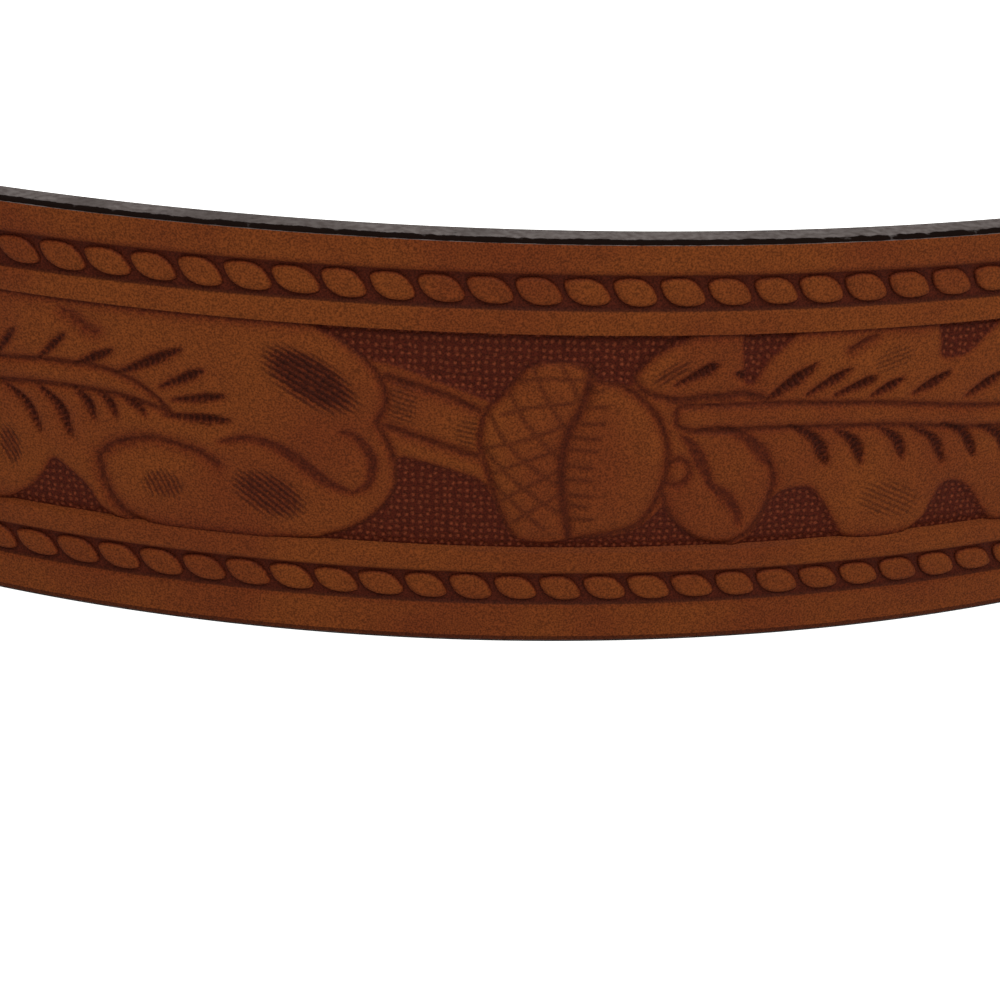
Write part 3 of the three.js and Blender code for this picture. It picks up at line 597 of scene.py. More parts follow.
def ring(rows, outline):
    """Points and masks for some stations of the strap, with every outline point at each."""
    distance, depth, thickness, tooled = (rows[:, i:i + 1] for i in range(4))
    heading = np.stack([np.gradient(rows[:, 0]), np.gradient(rows[:, 1])], -1)
    heading /= np.linalg.norm(heading, axis=1, keepdims=True)
    chart, below, surface = (np.array(column)[None, :] for column in zip(*outline))
    past = distance - LOOP_LENGTH
    on_face = (surface == TOOLED) & (below == 0.0)
    loosened = 1.0 - smooth(np.abs(chart), RIM_HALF, HALF_STRAP - 0.5)
    beyond = tip_share(past)
    height = (chart + rise_at(distance) * loosened * on_face) * np.sqrt(1.0 - beyond ** 2)
    inset = np.where(beyond > 0.0, HALF_STRAP - edge_distance(past, height), np.abs(chart))
    in_field = 1.0 - smooth(inset, FIELD_HALF - 0.1, FIELD_HALF + 0.12)
    bedded = (distance > FIELD_FROM) & (distance < FIELD_TO)
    relief = border_depth(inset) - in_field * np.where(bedded, FIELD_BED, PLAIN_FIELD_DEPTH)
    from_middle = thickness / 2 - below * thickness / STRAP_THICKNESS + relief * tooled * on_face
    points = place(distance - heading[:, 1:] * from_middle, depth + heading[:, :1] * from_middle, height)
    finished = on_face * tooled
    # A darker band along the face just above the strap's lower edge
    lower_edge_darkening = smooth(-chart, HALF_STRAP - 0.8, HALF_STRAP - 0.66) * finished
    # Painted shadow along the lower side of the rope's stamps, in both rows
    pad_shadow_line = np.where(chart > 0.0, BAND_HALF + 0.18, RIM_HALF - 0.18)
    pad_shadow = 0.8 * np.exp(-((inset - pad_shadow_line) / 0.22) ** 2) * finished
    masks = {
        "channel": channel_share(inset) * finished,
        # Stain and painted shade on the strap beside the field's edge and the rim
        "stain_and_shade": np.maximum(0.3 * np.exp(-np.abs(inset - FIELD_HALF) / 0.2),
                            0.5 * np.exp(-np.abs(inset - RIM_HALF - 0.1) / 0.3)) * finished,
        # The cut and stroke masks here carry the darker lower edge band and the painted shadow under the
        # rope's stamps
        "cut": np.maximum(lower_edge_darkening, pad_shadow),
        "stroke": np.maximum(lower_edge_darkening, pad_shadow),
        # The bevel mask places the edge's near-black, dye with painted shade, along its bevels
        "bevel": (surface == EDGE) * (1.0 - smooth(below, 0.25, 0.8)) + 0.0 * distance,
    }
    return points, masks


def swept(rings, closed_run=False):
    """Points and faces of a sweep through rings of points, capped when its run is open."""
    rings = np.asarray(rings)
    count, sides = rings.shape[:2]
    here = (np.arange(count if closed_run else count - 1) * sides)[:, None]
    after = (here + sides) % (count * sides)
    j = np.arange(sides)[None, :]
    k = (j + 1) % sides
    faces = np.stack([here + j, here + k, after + k, after + j], -1).reshape(-1, 4).tolist()
    if not closed_run:
        faces += [list(range(sides))[::-1], list(range((count - 1) * sides, count * sides))]
    return rings.reshape(-1, 3), faces


def strap_mesh(materials):
    rows = np.concatenate([
        folded_rows(),
        station_rows(steps(HEEL_AT, FIELD_FROM - 0.05, 1.8)[1:], STRAP_LEVEL),
        station_rows(steps(FIELD_FROM + 0.05, FIELD_TO - 0.05, 1.1), STRAP_LEVEL),
        station_rows(steps(FIELD_TO + 0.05, LOOP_LENGTH + DIPS_FROM, 1.1)[:-1], STRAP_LEVEL),
        free_end_rows(),
    ])
    outline = across()
    behind = rows[:1] - (rows[1:2] - rows[:1])
    ahead = rows[-1:] + (rows[-1:] - rows[-2:-1])
    points, masks = ring(np.concatenate([behind, rows, ahead]), outline)
    surfaces = [surface for _, _, surface in outline]
    kinds = [kind if kind == after else EDGE for kind, after in zip(surfaces, surfaces[1:] + surfaces[:1])]
    kinds = kinds * (len(rows) - 1) + [EDGE, EDGE]
    strap = mesh_object("strap_leather", *swept(points[1:-1]), materials, kinds)
    set_masks(strap, {key: value[1:-1] for key, value in masks.items()})
    return strap


def field_mesh(name, start, stop, rows_per_repeat, rows_across, material):
    """One stretch of the tooled field: its face in relief, closed underneath by a plain back."""
    step = REPEAT_LENGTH / rows_per_repeat
    chart = np.linspace(-FIELD_HALF - 0.05, FIELD_HALF + 0.05, rows_across)
    chart = np.concatenate([[-FIELD_HALF - 0.08], chart, [FIELD_HALF + 0.08]])
    one_repeat = REPEAT_START + step * np.arange(rows_per_repeat)
    grid = np.meshgrid(one_repeat, chart, indexing="ij")
    pattern = tooling(grid[0].ravel(), grid[1].ravel())
    origin = FRONT_AT + REPEAT_START
    numbers = np.arange(round((start - origin) / step), round((stop - origin) / step) + 1)
    pattern = {key: value.reshape(grid[0].shape)[numbers % rows_per_repeat]
               for key, value in pattern.items()}
    distance = (origin + numbers * step)[:, None]
    # Where the field stops: a groove, with stain and painted shade beside it
    stop_line = np.exp(-np.clip(FIELD_TO - distance, 0.0, None) / 0.7)
    pattern["stain_and_shade"] = np.maximum(pattern["stain_and_shade"], stop_line)
    depth = pattern.pop("depth") - FIELD_GROOVE * stop_line
    height = chart[None, :] + rise_at(distance)
    lower = place(distance, 0.05 - FIELD_BED, height[:, :1] + 0.18)
    upper = place(distance, 0.05 - FIELD_BED, height[:, -1:] - 0.18)
    points = np.concatenate([lower, place(distance, depth, height), upper], axis=1)
    piece = mesh_object(name, *swept(points), [material])
    pattern["along"] = (distance - FRONT_AT) + 0.0 * depth
    pattern["up"] = chart[None, :] + 0.0 * depth
    set_masks(piece, {key: np.pad(value, ((0, 0), (1, 1)), "edge") for key, value in pattern.items()})
    return piece


def from_hex(code):
    """A linear colour from an sRGB hex value."""
    parts = [int(code[i:i + 2], 16) / 255 for i in (0, 2, 4)]
    return [part / 12.92 if part <= 0.04045 else ((part + 0.055) / 1.055) ** 2.4 for part in parts] + [1.0]


def add_node(tree, kind, inputs=(), **settings):
    """One node with its settings, its values and its links, named or in the sockets' order.
    A node given as a value is linked by the first of its outputs that is in use."""
    made = tree.nodes.new(kind)
    for key, value in settings.items():
        setattr(made, key, value)
    for key, value in inputs.items() if isinstance(inputs, dict) else enumerate(inputs):
        if isinstance(value, bpy.types.Node):
            value = next(output for output in value.outputs if output.enabled)
        if isinstance(value, bpy.types.NodeSocket):
            tree.links.new(value, made.inputs[key])
        else:
            made.inputs[key].default_value = value
    return made


def new_material(name, **finish):
    """A material with the shader's own values set, and its tree, shader and Object coordinates."""
    material = bpy.data.materials.new(name)
    material.use_nodes = True
    tree = material.node_tree
    shader = tree.nodes["Principled BSDF"]
    for socket, value in finish.items():
        shader.inputs[socket.replace("_", " ").title().replace("Ior", "IOR")].default_value = value
    return material, tree, shader, add_node(tree, "ShaderNodeTexCoord").outputs["Object"]


# Settings and sockets of the nodes below: a range eased at both ends, and a mix of two colours
EASED = {"interpolation_type": "SMOOTHSTEP"}
SHARE, UNDER, OVER = 0, 6, 7

# Vegetable-tanned cowhide, tooled damp, then dyed, antiqued and waxed. The stain stays in the cuts,
# the matted ground and the rope's channel, and the raised parts keep an even satin brown.
# Beside the tooled forms, the field's edges and the rope's stamps the darkening is part stain, part painted
# shade.
LEATHER_LIGHT = "723916"
LEATHER_MIDDLE = "682F13"
REDDENED = "5C240F"
GROUND_STAIN = "46180C"
SEED_TOP = "6C311C"
CHANNEL_STAIN = "471A0D"
DEEP_STAIN = "2E0F08"


def tooled_leather():
    """The tooled face: its masks choose the stains and the painted shade beside the forms, over pores about
    0.16 mm and marks 0.4 mm apart.
    """
    material, tree, shader, where = new_material("tooled_vegetable_tanned_leather", specular_ior_level=0.06)
    mask = {}
    for name in ("matted", "cut", "stroke", "lined", "phase", "stain_and_shade", "channel", "along", "up"):
        mask[name] = add_node(tree, "ShaderNodeAttribute", attribute_name=name).outputs["Fac"]
    noise = {}
    for name, scale, detail in (("cloud", 90.0, 3.0), ("pores", 6200.0, 1.0), ("marks", 2600.0, 2.0)):
        noise[name] = add_node(tree, "ShaderNodeTexNoise", {
            "Vector": where, "Scale": scale, "Detail": detail})
    chart = add_node(tree, "ShaderNodeCombineXYZ", (mask["along"], mask["up"]))
    seeds = add_node(tree, "ShaderNodeTexVoronoi", {
        "Vector": chart, "Scale": 1 / SEED_PITCH, "Randomness": 0.4}, voronoi_dimensions="2D")
    wander = add_node(tree, "ShaderNodeMath", (noise["marks"], 0.6, mask["phase"]), operation="MULTIPLY_ADD")
    wave = add_node(tree, "ShaderNodeMath", (wander, 0.5), operation="PINGPONG")
    share = {}
    for name, source, low, high, least, most in (
            ("cloud", noise["cloud"], 0.3, 0.7, 0.0, 1.0),
            ("marks", noise["marks"], 0.25, 0.75, 0.78, 1.15),
            ("pores", noise["pores"], 0.25, 0.75, 0.53, 1.53),
            ("seeds", seeds, 0.43, 0.1, 0.0, 0.9),
            ("matted", mask["matted"], 0.38, 0.62, 0.0, 1.0),
            ("cut", mask["cut"], 0.36, 0.66, 0.0, 0.42),
            ("stroke", mask["stroke"], 0.34, 0.74, 0.0, 0.44),
            ("wave", wave, 0.12, 0.4, 0.0, 1.0),
            ("channel", mask["channel"], 0.05, 0.9, 0.0, 1.0),
            ("gloss", noise["cloud"], 0.3, 0.7, 0.56, 0.68)):
        share[name] = add_node(tree, "ShaderNodeMapRange", (source, low, high, least, most), **EASED)
    # Stain and painted shade beside the forms, broken up by the marks, redden the leather and then darken it
    stain_and_shade = add_node(tree, "ShaderNodeMath", (share["marks"], mask["stain_and_shade"]), operation="MULTIPLY")
    lines = add_node(tree, "ShaderNodeMath", (share["wave"], mask["lined"]), operation="MULTIPLY")
    raised = add_node(tree, "ShaderNodeMath", (share["seeds"], share["matted"]), operation="MULTIPLY")
    for name, source, low, high, least, most in (
            ("reddened", stain_and_shade, 0.05, 0.9, 0.0, 1.0), ("darkened", stain_and_shade, 0.45, 1.1, 0.0, 0.7),
            ("lines", lines, 0.0, 1.0, 0.0, 0.7)):
        share[name] = add_node(tree, "ShaderNodeMapRange", (source, low, high, least, most), **EASED)
    colour = from_hex(LEATHER_MIDDLE)
    for how_much, code in (
            (share["cloud"], LEATHER_LIGHT), (share["reddened"], REDDENED), (share["darkened"], DEEP_STAIN),
            (share["channel"], CHANNEL_STAIN), (share["matted"], GROUND_STAIN), (raised, SEED_TOP),
            (share["cut"], DEEP_STAIN), (share["stroke"], DEEP_STAIN), (share["lines"], DEEP_STAIN)):
        colour = add_node(tree, "ShaderNodeMix", {SHARE: how_much, UNDER: colour, OVER: from_hex(code)},
                          data_type="RGBA")
    colour = add_node(tree, "ShaderNodeMix", {SHARE: 0.8, UNDER: colour, OVER: share["pores"]},
                      data_type="RGBA", blend_type="MULTIPLY")
    height = add_node(tree, "ShaderNodeMath", (lines, -0.9, raised), operation="MULTIPLY_ADD")
    height = add_node(tree, "ShaderNodeMath", (noise["pores"], 0.35, height), operation="MULTIPLY_ADD")
    bump = add_node(tree, "ShaderNodeBump", {"Height": height, "Strength": 0.75, "Distance": 0.00018})
    tree.links.new(colour.outputs[2], shader.inputs["Base Color"])
    tree.links.new(share["gloss"].outputs["Result"], shader.inputs["Roughness"])
    tree.links.new(bump.outputs["Normal"], shader.inputs["Normal"])
    return material


def shaded(name, scale, detail, colours, bump_distance, **finish):
    """A material of two colours mixed by one noise, which also gives its relief."""
    material, tree, shader, where = new_material(name, **finish)
    noise = add_node(tree, "ShaderNodeTexNoise", {"Vector": where, "Scale": scale, "Detail": detail})
    patches = add_node(tree, "ShaderNodeTexNoise", {"Vector": where, "Scale": scale / 9, "Detail": 3.0})
    share = add_node(tree, "ShaderNodeMapRange", (noise, 0.3, 0.7, 0.0, 1.0), **EASED)
    colour = add_node(tree, "ShaderNodeMix", {
        SHARE: share, UNDER: from_hex(colours[0]), OVER: from_hex(colours[1])}, data_type="RGBA")
    share = add_node(tree, "ShaderNodeMapRange", (patches, 0.4, 0.7, 0.0, 0.6), **EASED)
    colour = add_node(tree, "ShaderNodeMix", {
        SHARE: share, UNDER: colour, OVER: from_hex(colours[2])}, data_type="RGBA")
    bump = add_node(tree, "ShaderNodeBump", {"Height": noise, "Strength": 0.6, "Distance": bump_distance})
    tree.links.new(bump.outputs["Normal"], shader.inputs["Normal"])
    tree.links.new(colour.outputs[2], shader.inputs["Base Color"])
    return material, tree, shader, colour


def dyed_edge():
    """The cut edge, dyed dark and burnished. Its grey is a painted sheen over the dark dye, and the
    near-black along the bevel beside the tooled face is dye with painted shade.
    """
    material, tree, shader, colour = shaded(
        "dyed_leather_edge_with_painted_sheen_and_shade", 1500.0, 4.0, ("5F5653", "79716E", "4F4744"), 0.00016,
        roughness=0.8, specular_ior_level=0.04)
    # Near-black along the bevels, ragged: dye with painted shade
    bevel = add_node(tree, "ShaderNodeAttribute", attribute_name="bevel").outputs["Fac"]
    where = add_node(tree, "ShaderNodeTexCoord").outputs["Object"]
    ragged = add_node(tree, "ShaderNodeTexNoise", {"Vector": where, "Scale": 900.0, "Detail": 4.0})
    ragged = add_node(tree, "ShaderNodeMath", (ragged, 2.0, bevel), operation="MULTIPLY_ADD")
    share = add_node(tree, "ShaderNodeMapRange", (ragged, 1.3, 1.7, 0.0, 1.0), **EASED)
    colour = add_node(tree, "ShaderNodeMix", {
        SHARE: share, UNDER: colour, OVER: from_hex("150B07")}, data_type="RGBA")
    tree.links.new(colour.outputs[2], shader.inputs["Base Color"])
    return material


def flesh_side():
    """The back of the hide, buffed to a short brown nap."""
    return shaded("leather_flesh_side", 700.0, 6.0, ("6B4A33", "8F6A4B", "5A3B28"), 0.0003,
                  roughness=0.92, specular_ior_level=0.2)[0]


def made_plain(piece, helper):
    """The piece's mesh as its modifier leaves it, with the modifier and its helper object removed."""
    bpy.context.view_layer.update()
    evaluated = piece.evaluated_get(bpy.context.evaluated_depsgraph_get())
    mesh = bpy.data.meshes.new_from_object(evaluated)
    piece.modifiers.clear()
    piece.data = mesh
    bpy.data.objects.remove(helper)


def punch(piece, cutter):
    """Takes a cutter's shape out of a piece."""
    modifier = piece.modifiers.new("punch", "BOOLEAN")
    modifier.operation = "DIFFERENCE"
    modifier.solver = "MANIFOLD"
    modifier.object = cutter
    made_plain(piece, cutter)


def facing_outward(points, faces):
    """The same faces, turned round if the closed shape they make is inside out."""
    volume = 0.0
    for face in faces:
        for b, c in zip(face[1:-1], face[2:]):
            volume += np.dot(points[face[0]], np.cross(points[b], points[c]))
    return faces if volume > 0 else [face[::-1] for face in faces]


def joined_parts(*parts):
    """Closed shapes, each of points and faces, as one list of points and one of outward faces."""
    points, faces = [], []
    done = 0
    for part_points, part_faces in parts:
        faces += [[done + i for i in face] for face in facing_outward(part_points, part_faces)]
        points.append(part_points)
        done += len(part_points)
    return np.concatenate(points), faces


leather = tooled_leather()
strap = strap_mesh([leather, dyed_edge(), flesh_side()])


def hole_cutter(distance, depth, radius, reach, lean):
    """A round punch through the strap, leaning as the strap does there."""
    turns = np.linspace(0, 2 * math.pi, 25)[:-1]
    rings = []
    for side in (-reach / 2, reach / 2):
        along = distance + radius * np.cos(turns) * math.cos(lean) - side * math.sin(lean)
        out = depth + radius * np.cos(turns) * math.sin(lean) + side * math.cos(lean)
        rings.append(place(along, out, radius * np.sin(turns)))
    return swept(rings)


# Punched through the strap: five holes in the free end, two for the posts, and the prong's slot
PRONG_SLOT_WIDTH = 7.0
PRONG_SLOT_END = HEEL_AT + 7.0
POST_HOLE_RADIUS = 2.7
POST_SETBACKS = (17.0, 43.0)
PUNCH_REACH = 4.6

cutters = []
for number in range(5):
    past = HOLE_IN_USE_AT + (number - 2) * HOLE_SPACING
    cutters.append(hole_cutter(
        LOOP_LENGTH + past, free_end_depth(past), HOLE_RADIUS, PUNCH_REACH, free_end_lean(past)))
for setback in POST_SETBACKS:
    cutters.append(hole_cutter(
        HEEL_AT + setback, FLAP_BACK_DEPTH / 2, POST_HOLE_RADIUS, GAP - FLAP_BACK_DEPTH, 0.0))
slot_turns = np.linspace(-math.pi / 2, math.pi / 2, 13)
slot_radius = PRONG_SLOT_WIDTH / 2
nose = HEEL_AT - BAR_RADIUS - STRAP_THICKNESS - 2 * GAP
slot_along = np.append(PRONG_SLOT_END - slot_radius + slot_radius * np.cos(slot_turns), [nose, nose])
slot_height = np.append(slot_radius * np.sin(slot_turns), [slot_radius, -slot_radius])
slot_depths = (HEEL_DEPTH - BAR_RADIUS - STRAP_THICKNESS - 2 * GAP, GAP / 2)
cutters.append(swept([place(slot_along, depth, slot_height) for depth in slot_depths]))
punch(strap, mesh_object("strap_cutter", *joined_parts(*cutters)))
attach(strap, "root")
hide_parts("strap")

# The tooled field along the loop: the front's is divided most finely, and each is the same hide
ONE_BACK = FRONT_AT + REPEAT_START - REPEAT_LENGTH
ONE_ON = FRONT_AT + REPEAT_START + REPEAT_LENGTH
for name, start, stop, rows_per_repeat, rows_across in (
        ("tooled_field_front", ONE_BACK, ONE_ON, 432, 83),
        ("tooled_field_left", FIELD_FROM, ONE_BACK, 288, 57),
        ("tooled_field_right", ONE_ON, FIELD_TO, 288, 57)):
    field = field_mesh(name, start, stop, rows_per_repeat, rows_across, leather)
    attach(field, "root")

# The rope border: short leaning stamps, one after another along both edges and round the tip,
# pressed into the strap itself. Their tops are level with the rim, and the channel is dark between.
ROPE_PITCH = 3.968
ROPE_PAD_HEIGHT = 0.44
ROPE_UPPER_START = -37.659
ROPE_LOWER_START = -42.224
ROPE_PAD = [(-2.02, 0.58), (-1.85, 1.0), (-1.05, 1.22), (0.3, 1.19), (1.28, 0.68), (1.92, -0.2),
            (2.02, -0.88), (1.1, -1.22), (-0.35, -1.15), (-1.48, -0.48)]
ROPE_START = FIELD_FROM


def rope_path():
    """Where the upper rope runs along the free end to the tip's point: distance and height."""
    path = [(past, ROPE_MIDDLE) for past in steps(DIPS_FROM, TIP_START, 1.0)]
    shares = np.linspace(0.3, 1.0, 200)
    for angle in np.radians(np.linspace(88.0, 0.0, 45)):
        onward = TIP_LENGTH * math.cos(angle)
        aside = HALF_STRAP * math.sin(angle)
        insets = HALF_STRAP - edge_distance(TIP_START + onward * shares, aside * shares)
        share = np.interp(ROPE_MIDDLE, insets, shares)
        path.append((TIP_START + onward * share, aside * share))
    return np.array(path)


def rope_points(side, start):
    """Places, headings and outward directions of one edge's stamps, from under the tip to the tip."""
    first = math.ceil((ROPE_START - FRONT_AT - start) / ROPE_PITCH)
    reach = np.arange(first, 400) * ROPE_PITCH + FRONT_AT + start - LOOP_LENGTH - DIPS_FROM
    path = rope_path()
    lengths = np.concatenate([[0.0], np.cumsum(np.linalg.norm(np.diff(path, axis=0), axis=1))])
    reach = reach[reach < lengths[-1] - (0.0 if side > 0 else ROPE_PITCH)]

    def along_path(reach_at):
        """Distance past the buckle and height by the reach along the path, below 0 ahead of its start."""
        past_at = np.interp(reach_at, lengths, path[:, 0]) + np.minimum(reach_at, 0.0)
        return past_at, np.interp(reach_at, lengths, path[:, 1]) * side

    def on_floor(past_at, height_at):
        """Points on the channel's floor, where the stamps stand."""
        depth = free_end_depth(past_at)
        lean = np.arctan((free_end_depth(past_at + 0.1) - depth) / 0.1)
        surface = STRAP_THICKNESS / 2 - ROPE_DEPTH - 0.05
        distance = LOOP_LENGTH + past_at - np.sin(lean) * surface
        return place(distance, depth + np.cos(lean) * surface, height_at)

    past, height = along_path(reach)
    ahead, climb = along_path(reach + 0.1)
    ahead, climb = ahead - past, climb - height
    height = height + rise_at(LOOP_LENGTH + past)

    at = on_floor(past, height)
    along = on_floor(past + ahead, height + climb) - on_floor(past - ahead, height - climb)
    along /= np.linalg.norm(along, axis=1, keepdims=True)
    flat_out = np.concatenate([outward(LOOP_LENGTH + past), np.zeros((len(past), 1))], axis=1)
    out = flat_out - along * np.sum(along * flat_out, axis=1, keepdims=True)
    out /= np.linalg.norm(out, axis=1, keepdims=True)
    return at, along, out


def rope_pad():
    """One stamp's face in mm: a low pillow over its outline, darkest round its base with antique staining
    and painted shade.
    """
    outline = curved(ROPE_PAD, True, 2)
    levels = ((1.0, -0.2, 1.0), (1.0, 0.4, 0.9), (0.9, 0.8, 0.35), (0.62, 1.0, 0.0))
    rings = [np.column_stack([outline * reach, np.full(len(outline), level * ROPE_PAD_HEIGHT)])
             for reach, level, _ in levels]
    made = mesh_object("rope_pad", *joined_parts(swept(rings)))
    set_masks(made, {"stain_and_shade": np.repeat([stain_and_shade for _, _, stain_and_shade in levels], len(outline))})
    return made


def rope_tree():
    """Node group that strikes a stamp at each place, turned along the rope and a little uneven in size."""
    tree = bpy.data.node_groups.new("rope_stamps", "GeometryNodeTree")
    for name, kind in (("Places", "Geometry"), ("Stamp", "Object"), ("Unevenness", "Float"),
                       ("Seed", "Int"), ("Material", "Material")):
        tree.interface.new_socket(name, in_out="INPUT", socket_type="NodeSocket" + kind)
    tree.interface.new_socket("Rope", in_out="OUTPUT", socket_type="NodeSocketGeometry")
    source = add_node(tree, "NodeGroupInput")
    stamp = add_node(tree, "GeometryNodeObjectInfo", {"Object": source.outputs["Stamp"]})
    out = add_node(tree, "GeometryNodeInputNamedAttribute", {"Name": "out"}, data_type="FLOAT_VECTOR")
    along = add_node(tree, "GeometryNodeInputNamedAttribute", {"Name": "run"}, data_type="FLOAT_VECTOR")
    turned = add_node(tree, "FunctionNodeAxesToRotation", {
        "Primary Axis": out.outputs["Attribute"], "Secondary Axis": along.outputs["Attribute"]},
        primary_axis="Z", secondary_axis="X")
    least = add_node(tree, "ShaderNodeMath", (1.0, source.outputs["Unevenness"]), operation="SUBTRACT")
    size = add_node(tree, "FunctionNodeRandomValue", {
        "Min": least.outputs["Value"], "Max": (1.0, 1.0, 1.0), "Seed": source.outputs["Seed"]},
        data_type="FLOAT_VECTOR")
    stamps = add_node(tree, "GeometryNodeInstanceOnPoints", {
        "Points": source.outputs["Places"], "Instance": stamp.outputs["Geometry"],
        "Rotation": turned.outputs["Rotation"], "Scale": size.outputs["Value"]})
    real = add_node(tree, "GeometryNodeRealizeInstances", {"Geometry": stamps.outputs["Instances"]})
    finished = add_node(tree, "GeometryNodeSetMaterial", {
        "Geometry": real.outputs["Geometry"], "Material": source.outputs["Material"]})
    add_node(tree, "NodeGroupOutput", {"Rope": finished.outputs["Geometry"]})
    return tree


def set_inputs(modifier, values):
    """Sets a node modifier's inputs by the sockets' identifiers."""
    for item in modifier.node_group.interface.items_tree:
        if item.item_type == "SOCKET" and item.in_out == "INPUT" and item.name in values:
            modifier[item.identifier] = values[item.name]


stamping = rope_tree()
for seed, (name, side, start) in enumerate((("rope_border_upper", 1, ROPE_UPPER_START),
                                            ("rope_border_lower", -1, ROPE_LOWER_START))):
    rope_at, rope_along, rope_out = rope_points(side, start)
    rope = mesh_object(name, rope_at, [])
    for key, values in (("run", rope_along), ("out", rope_out)):
        layer = rope.data.attributes.new(key, "FLOAT_VECTOR", "POINT")
        layer.data.foreach_set("vector", values.astype(np.float32).ravel())
    pad = rope_pad()
    maker = rope.modifiers.new("rope", "NODES")
    maker.node_group = stamping
    set_inputs(maker, {"Stamp": pad, "Unevenness": 0.08, "Seed": seed, "Material": leather})
    made_plain(rope, pad)
    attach(rope, "root")

# The buckle: a cast frame with a round heel bar, and a prong that turns on it through a collar.
# It is plated in antique nickel, its tone varying in noisy patches.
BUCKLE_HALF_HEIGHT = 24.5
BUCKLE_CORNER = 7.0
HEEL_CORNER = 2.5
PRONG_WIDTH = 3.4
PRONG_THICKNESS = 2.2
PRONG_ANGLE = math.radians(62)
PRONG_OVERHANG = 3.0
COLLAR_RADIUS = 3.4
COLLAR_WIDTH = 5.0


def cast_metal():
    """Antique nickel plate over the casting."""
    return shaded("antique_nickel_plate", 1400.0, 3.0, ("A3988A", "B3A893", "857A6A"), 0.00004,
                  metallic=1.0, roughness=0.36)[0]


def round_section(half_x, half_y, sides):
    turns = np.linspace(0, 2 * math.pi, sides + 1)[:-1]
    return half_x * np.cos(turns), half_y * np.sin(turns)


def frame_part():
    """The frame: round bars at both ends, joined by wider sides that slope from one to the other."""
    half_height = BUCKLE_HALF_HEIGHT - BAR_WIDTH / 2
    upper = []
    for end, radius, start in ((1, HEEL_CORNER, 0), (-1, BUCKLE_CORNER, 90)):
        middle = end * (HEEL_AT - radius)
        top = half_height - radius
        corner = [(middle + radius * math.cos(angle), top + radius * math.sin(angle), angle)
                  for angle in np.radians(np.linspace(start, start + 90, 11))]
        if upper:
            side = np.linspace(upper[-1][0], corner[0][0], 20)[1:-1]
            upper += [(past, half_height, math.pi / 2) for past in side]
        upper += corner
    heel_bar = [(HEEL_AT, height, 0.0) for height in np.linspace(-15.0, 15.0, 13)]
    end_bar = [(-HEEL_AT, height, math.pi) for height in np.linspace(12.0, -12.0, 11)]
    lower = [(past, -height, -angle) for past, height, angle in upper[::-1]]
    rings = []
    for past, height, angle in heel_bar + upper + end_bar + lower:
        sunk = float(smooth(past, -HEEL_AT + 0.17 * BUCKLE_LENGTH, HEEL_AT - HEEL_CORNER))
        half_width = BAR_WIDTH / 2 + (BAR_RADIUS - BAR_WIDTH / 2) * float(smooth(math.cos(angle), 0, 1))
        x, y = round_section(half_width, BAR_RADIUS, 24)
        level = END_BAR_DEPTH + (HEEL_DEPTH - END_BAR_DEPTH) * sunk
        rings.append(place(past + x * math.cos(angle), level + y, height + x * math.sin(angle)))
    return swept(rings, True)


def prong_part():
    """The prong, bent from the heel bar through the hole in use to its rest on the end bar."""
    hole = np.array([HOLE_IN_USE_AT, float(free_end_depth(HOLE_IN_USE_AT))])
    heading = math.pi + free_end_lean(HOLE_IN_USE_AT) - PRONG_ANGLE
    across_hole = np.array([math.cos(heading), math.sin(heading)])
    reach = (STRAP_THICKNESS / 2 + GAP + PRONG_THICKNESS / 2) / math.sin(PRONG_ANGLE)
    rest_depth = END_BAR_DEPTH + BAR_RADIUS - GAP + PRONG_THICKNESS / 2

    def at_depth(depth):
        return hole + across_hole * (depth - hole[1]) / across_hole[1]

    def bend(start, corner, stop):
        share = np.linspace(0, 1, 13)[:, None]
        return (1 - share) ** 2 * start + 2 * share * (1 - share) * corner + share ** 2 * stop

    heel = np.array([HEEL_AT, HEEL_DEPTH])
    rest = np.array([-HEEL_AT, rest_depth])
    tip = np.array([-HEEL_AT - PRONG_OVERHANG, rest_depth - PRONG_THICKNESS / 4])
    run = np.concatenate([
        bend(heel, at_depth(HEEL_DEPTH + PRONG_THICKNESS / 2), hole - across_hole * reach),
        bend(hole + across_hole * reach, at_depth(rest_depth), rest),
        rest + (tip - rest) * np.linspace(0, 1, 6)[1:, None]])
    heading_along = np.gradient(run, axis=0)
    heading_along /= np.linalg.norm(heading_along, axis=1, keepdims=True)
    x, y = round_section(PRONG_THICKNESS / 2, PRONG_WIDTH / 2, 20)
    shares = np.ones(len(run))
    shares[-5:] = [0.97, 0.92, 0.86, 0.76, 0.5]
    rings = [place(point[0] - turn[1] * x * share, point[1] + turn[0] * x * share, y * share)
             for point, turn, share in zip(run, heading_along, shares)]
    return swept(rings)


def collar_part():
    """The prong's collar, round the heel bar."""
    x, y = round_section(1.0, 1.0, 32)
    end = [(COLLAR_WIDTH / 2, COLLAR_RADIUS - 0.3), (COLLAR_WIDTH / 2 - 0.1, COLLAR_RADIUS - 0.1),
           (COLLAR_WIDTH / 2 - 0.35, COLLAR_RADIUS)]
    rows = [(-height, radius) for height, radius in end] + end[::-1]
    return swept([place(HEEL_AT + x * radius, HEEL_DEPTH + y * radius, height) for height, radius in rows])


metal = cast_metal()
buckle = mesh_object("buckle_cast", *joined_parts(frame_part(), prong_part(), collar_part()), [metal])
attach(buckle, "root")
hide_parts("buckle")

# The keeper: a flat band of the same hide, skived and joined at the back, plain with creased edges
KEEPER_WIDTH = 12.0
KEEPER_THICKNESS = 1.8
KEEPER_SIDE_PLAY = 0.5
KEEPER_SETBACK = 30.0


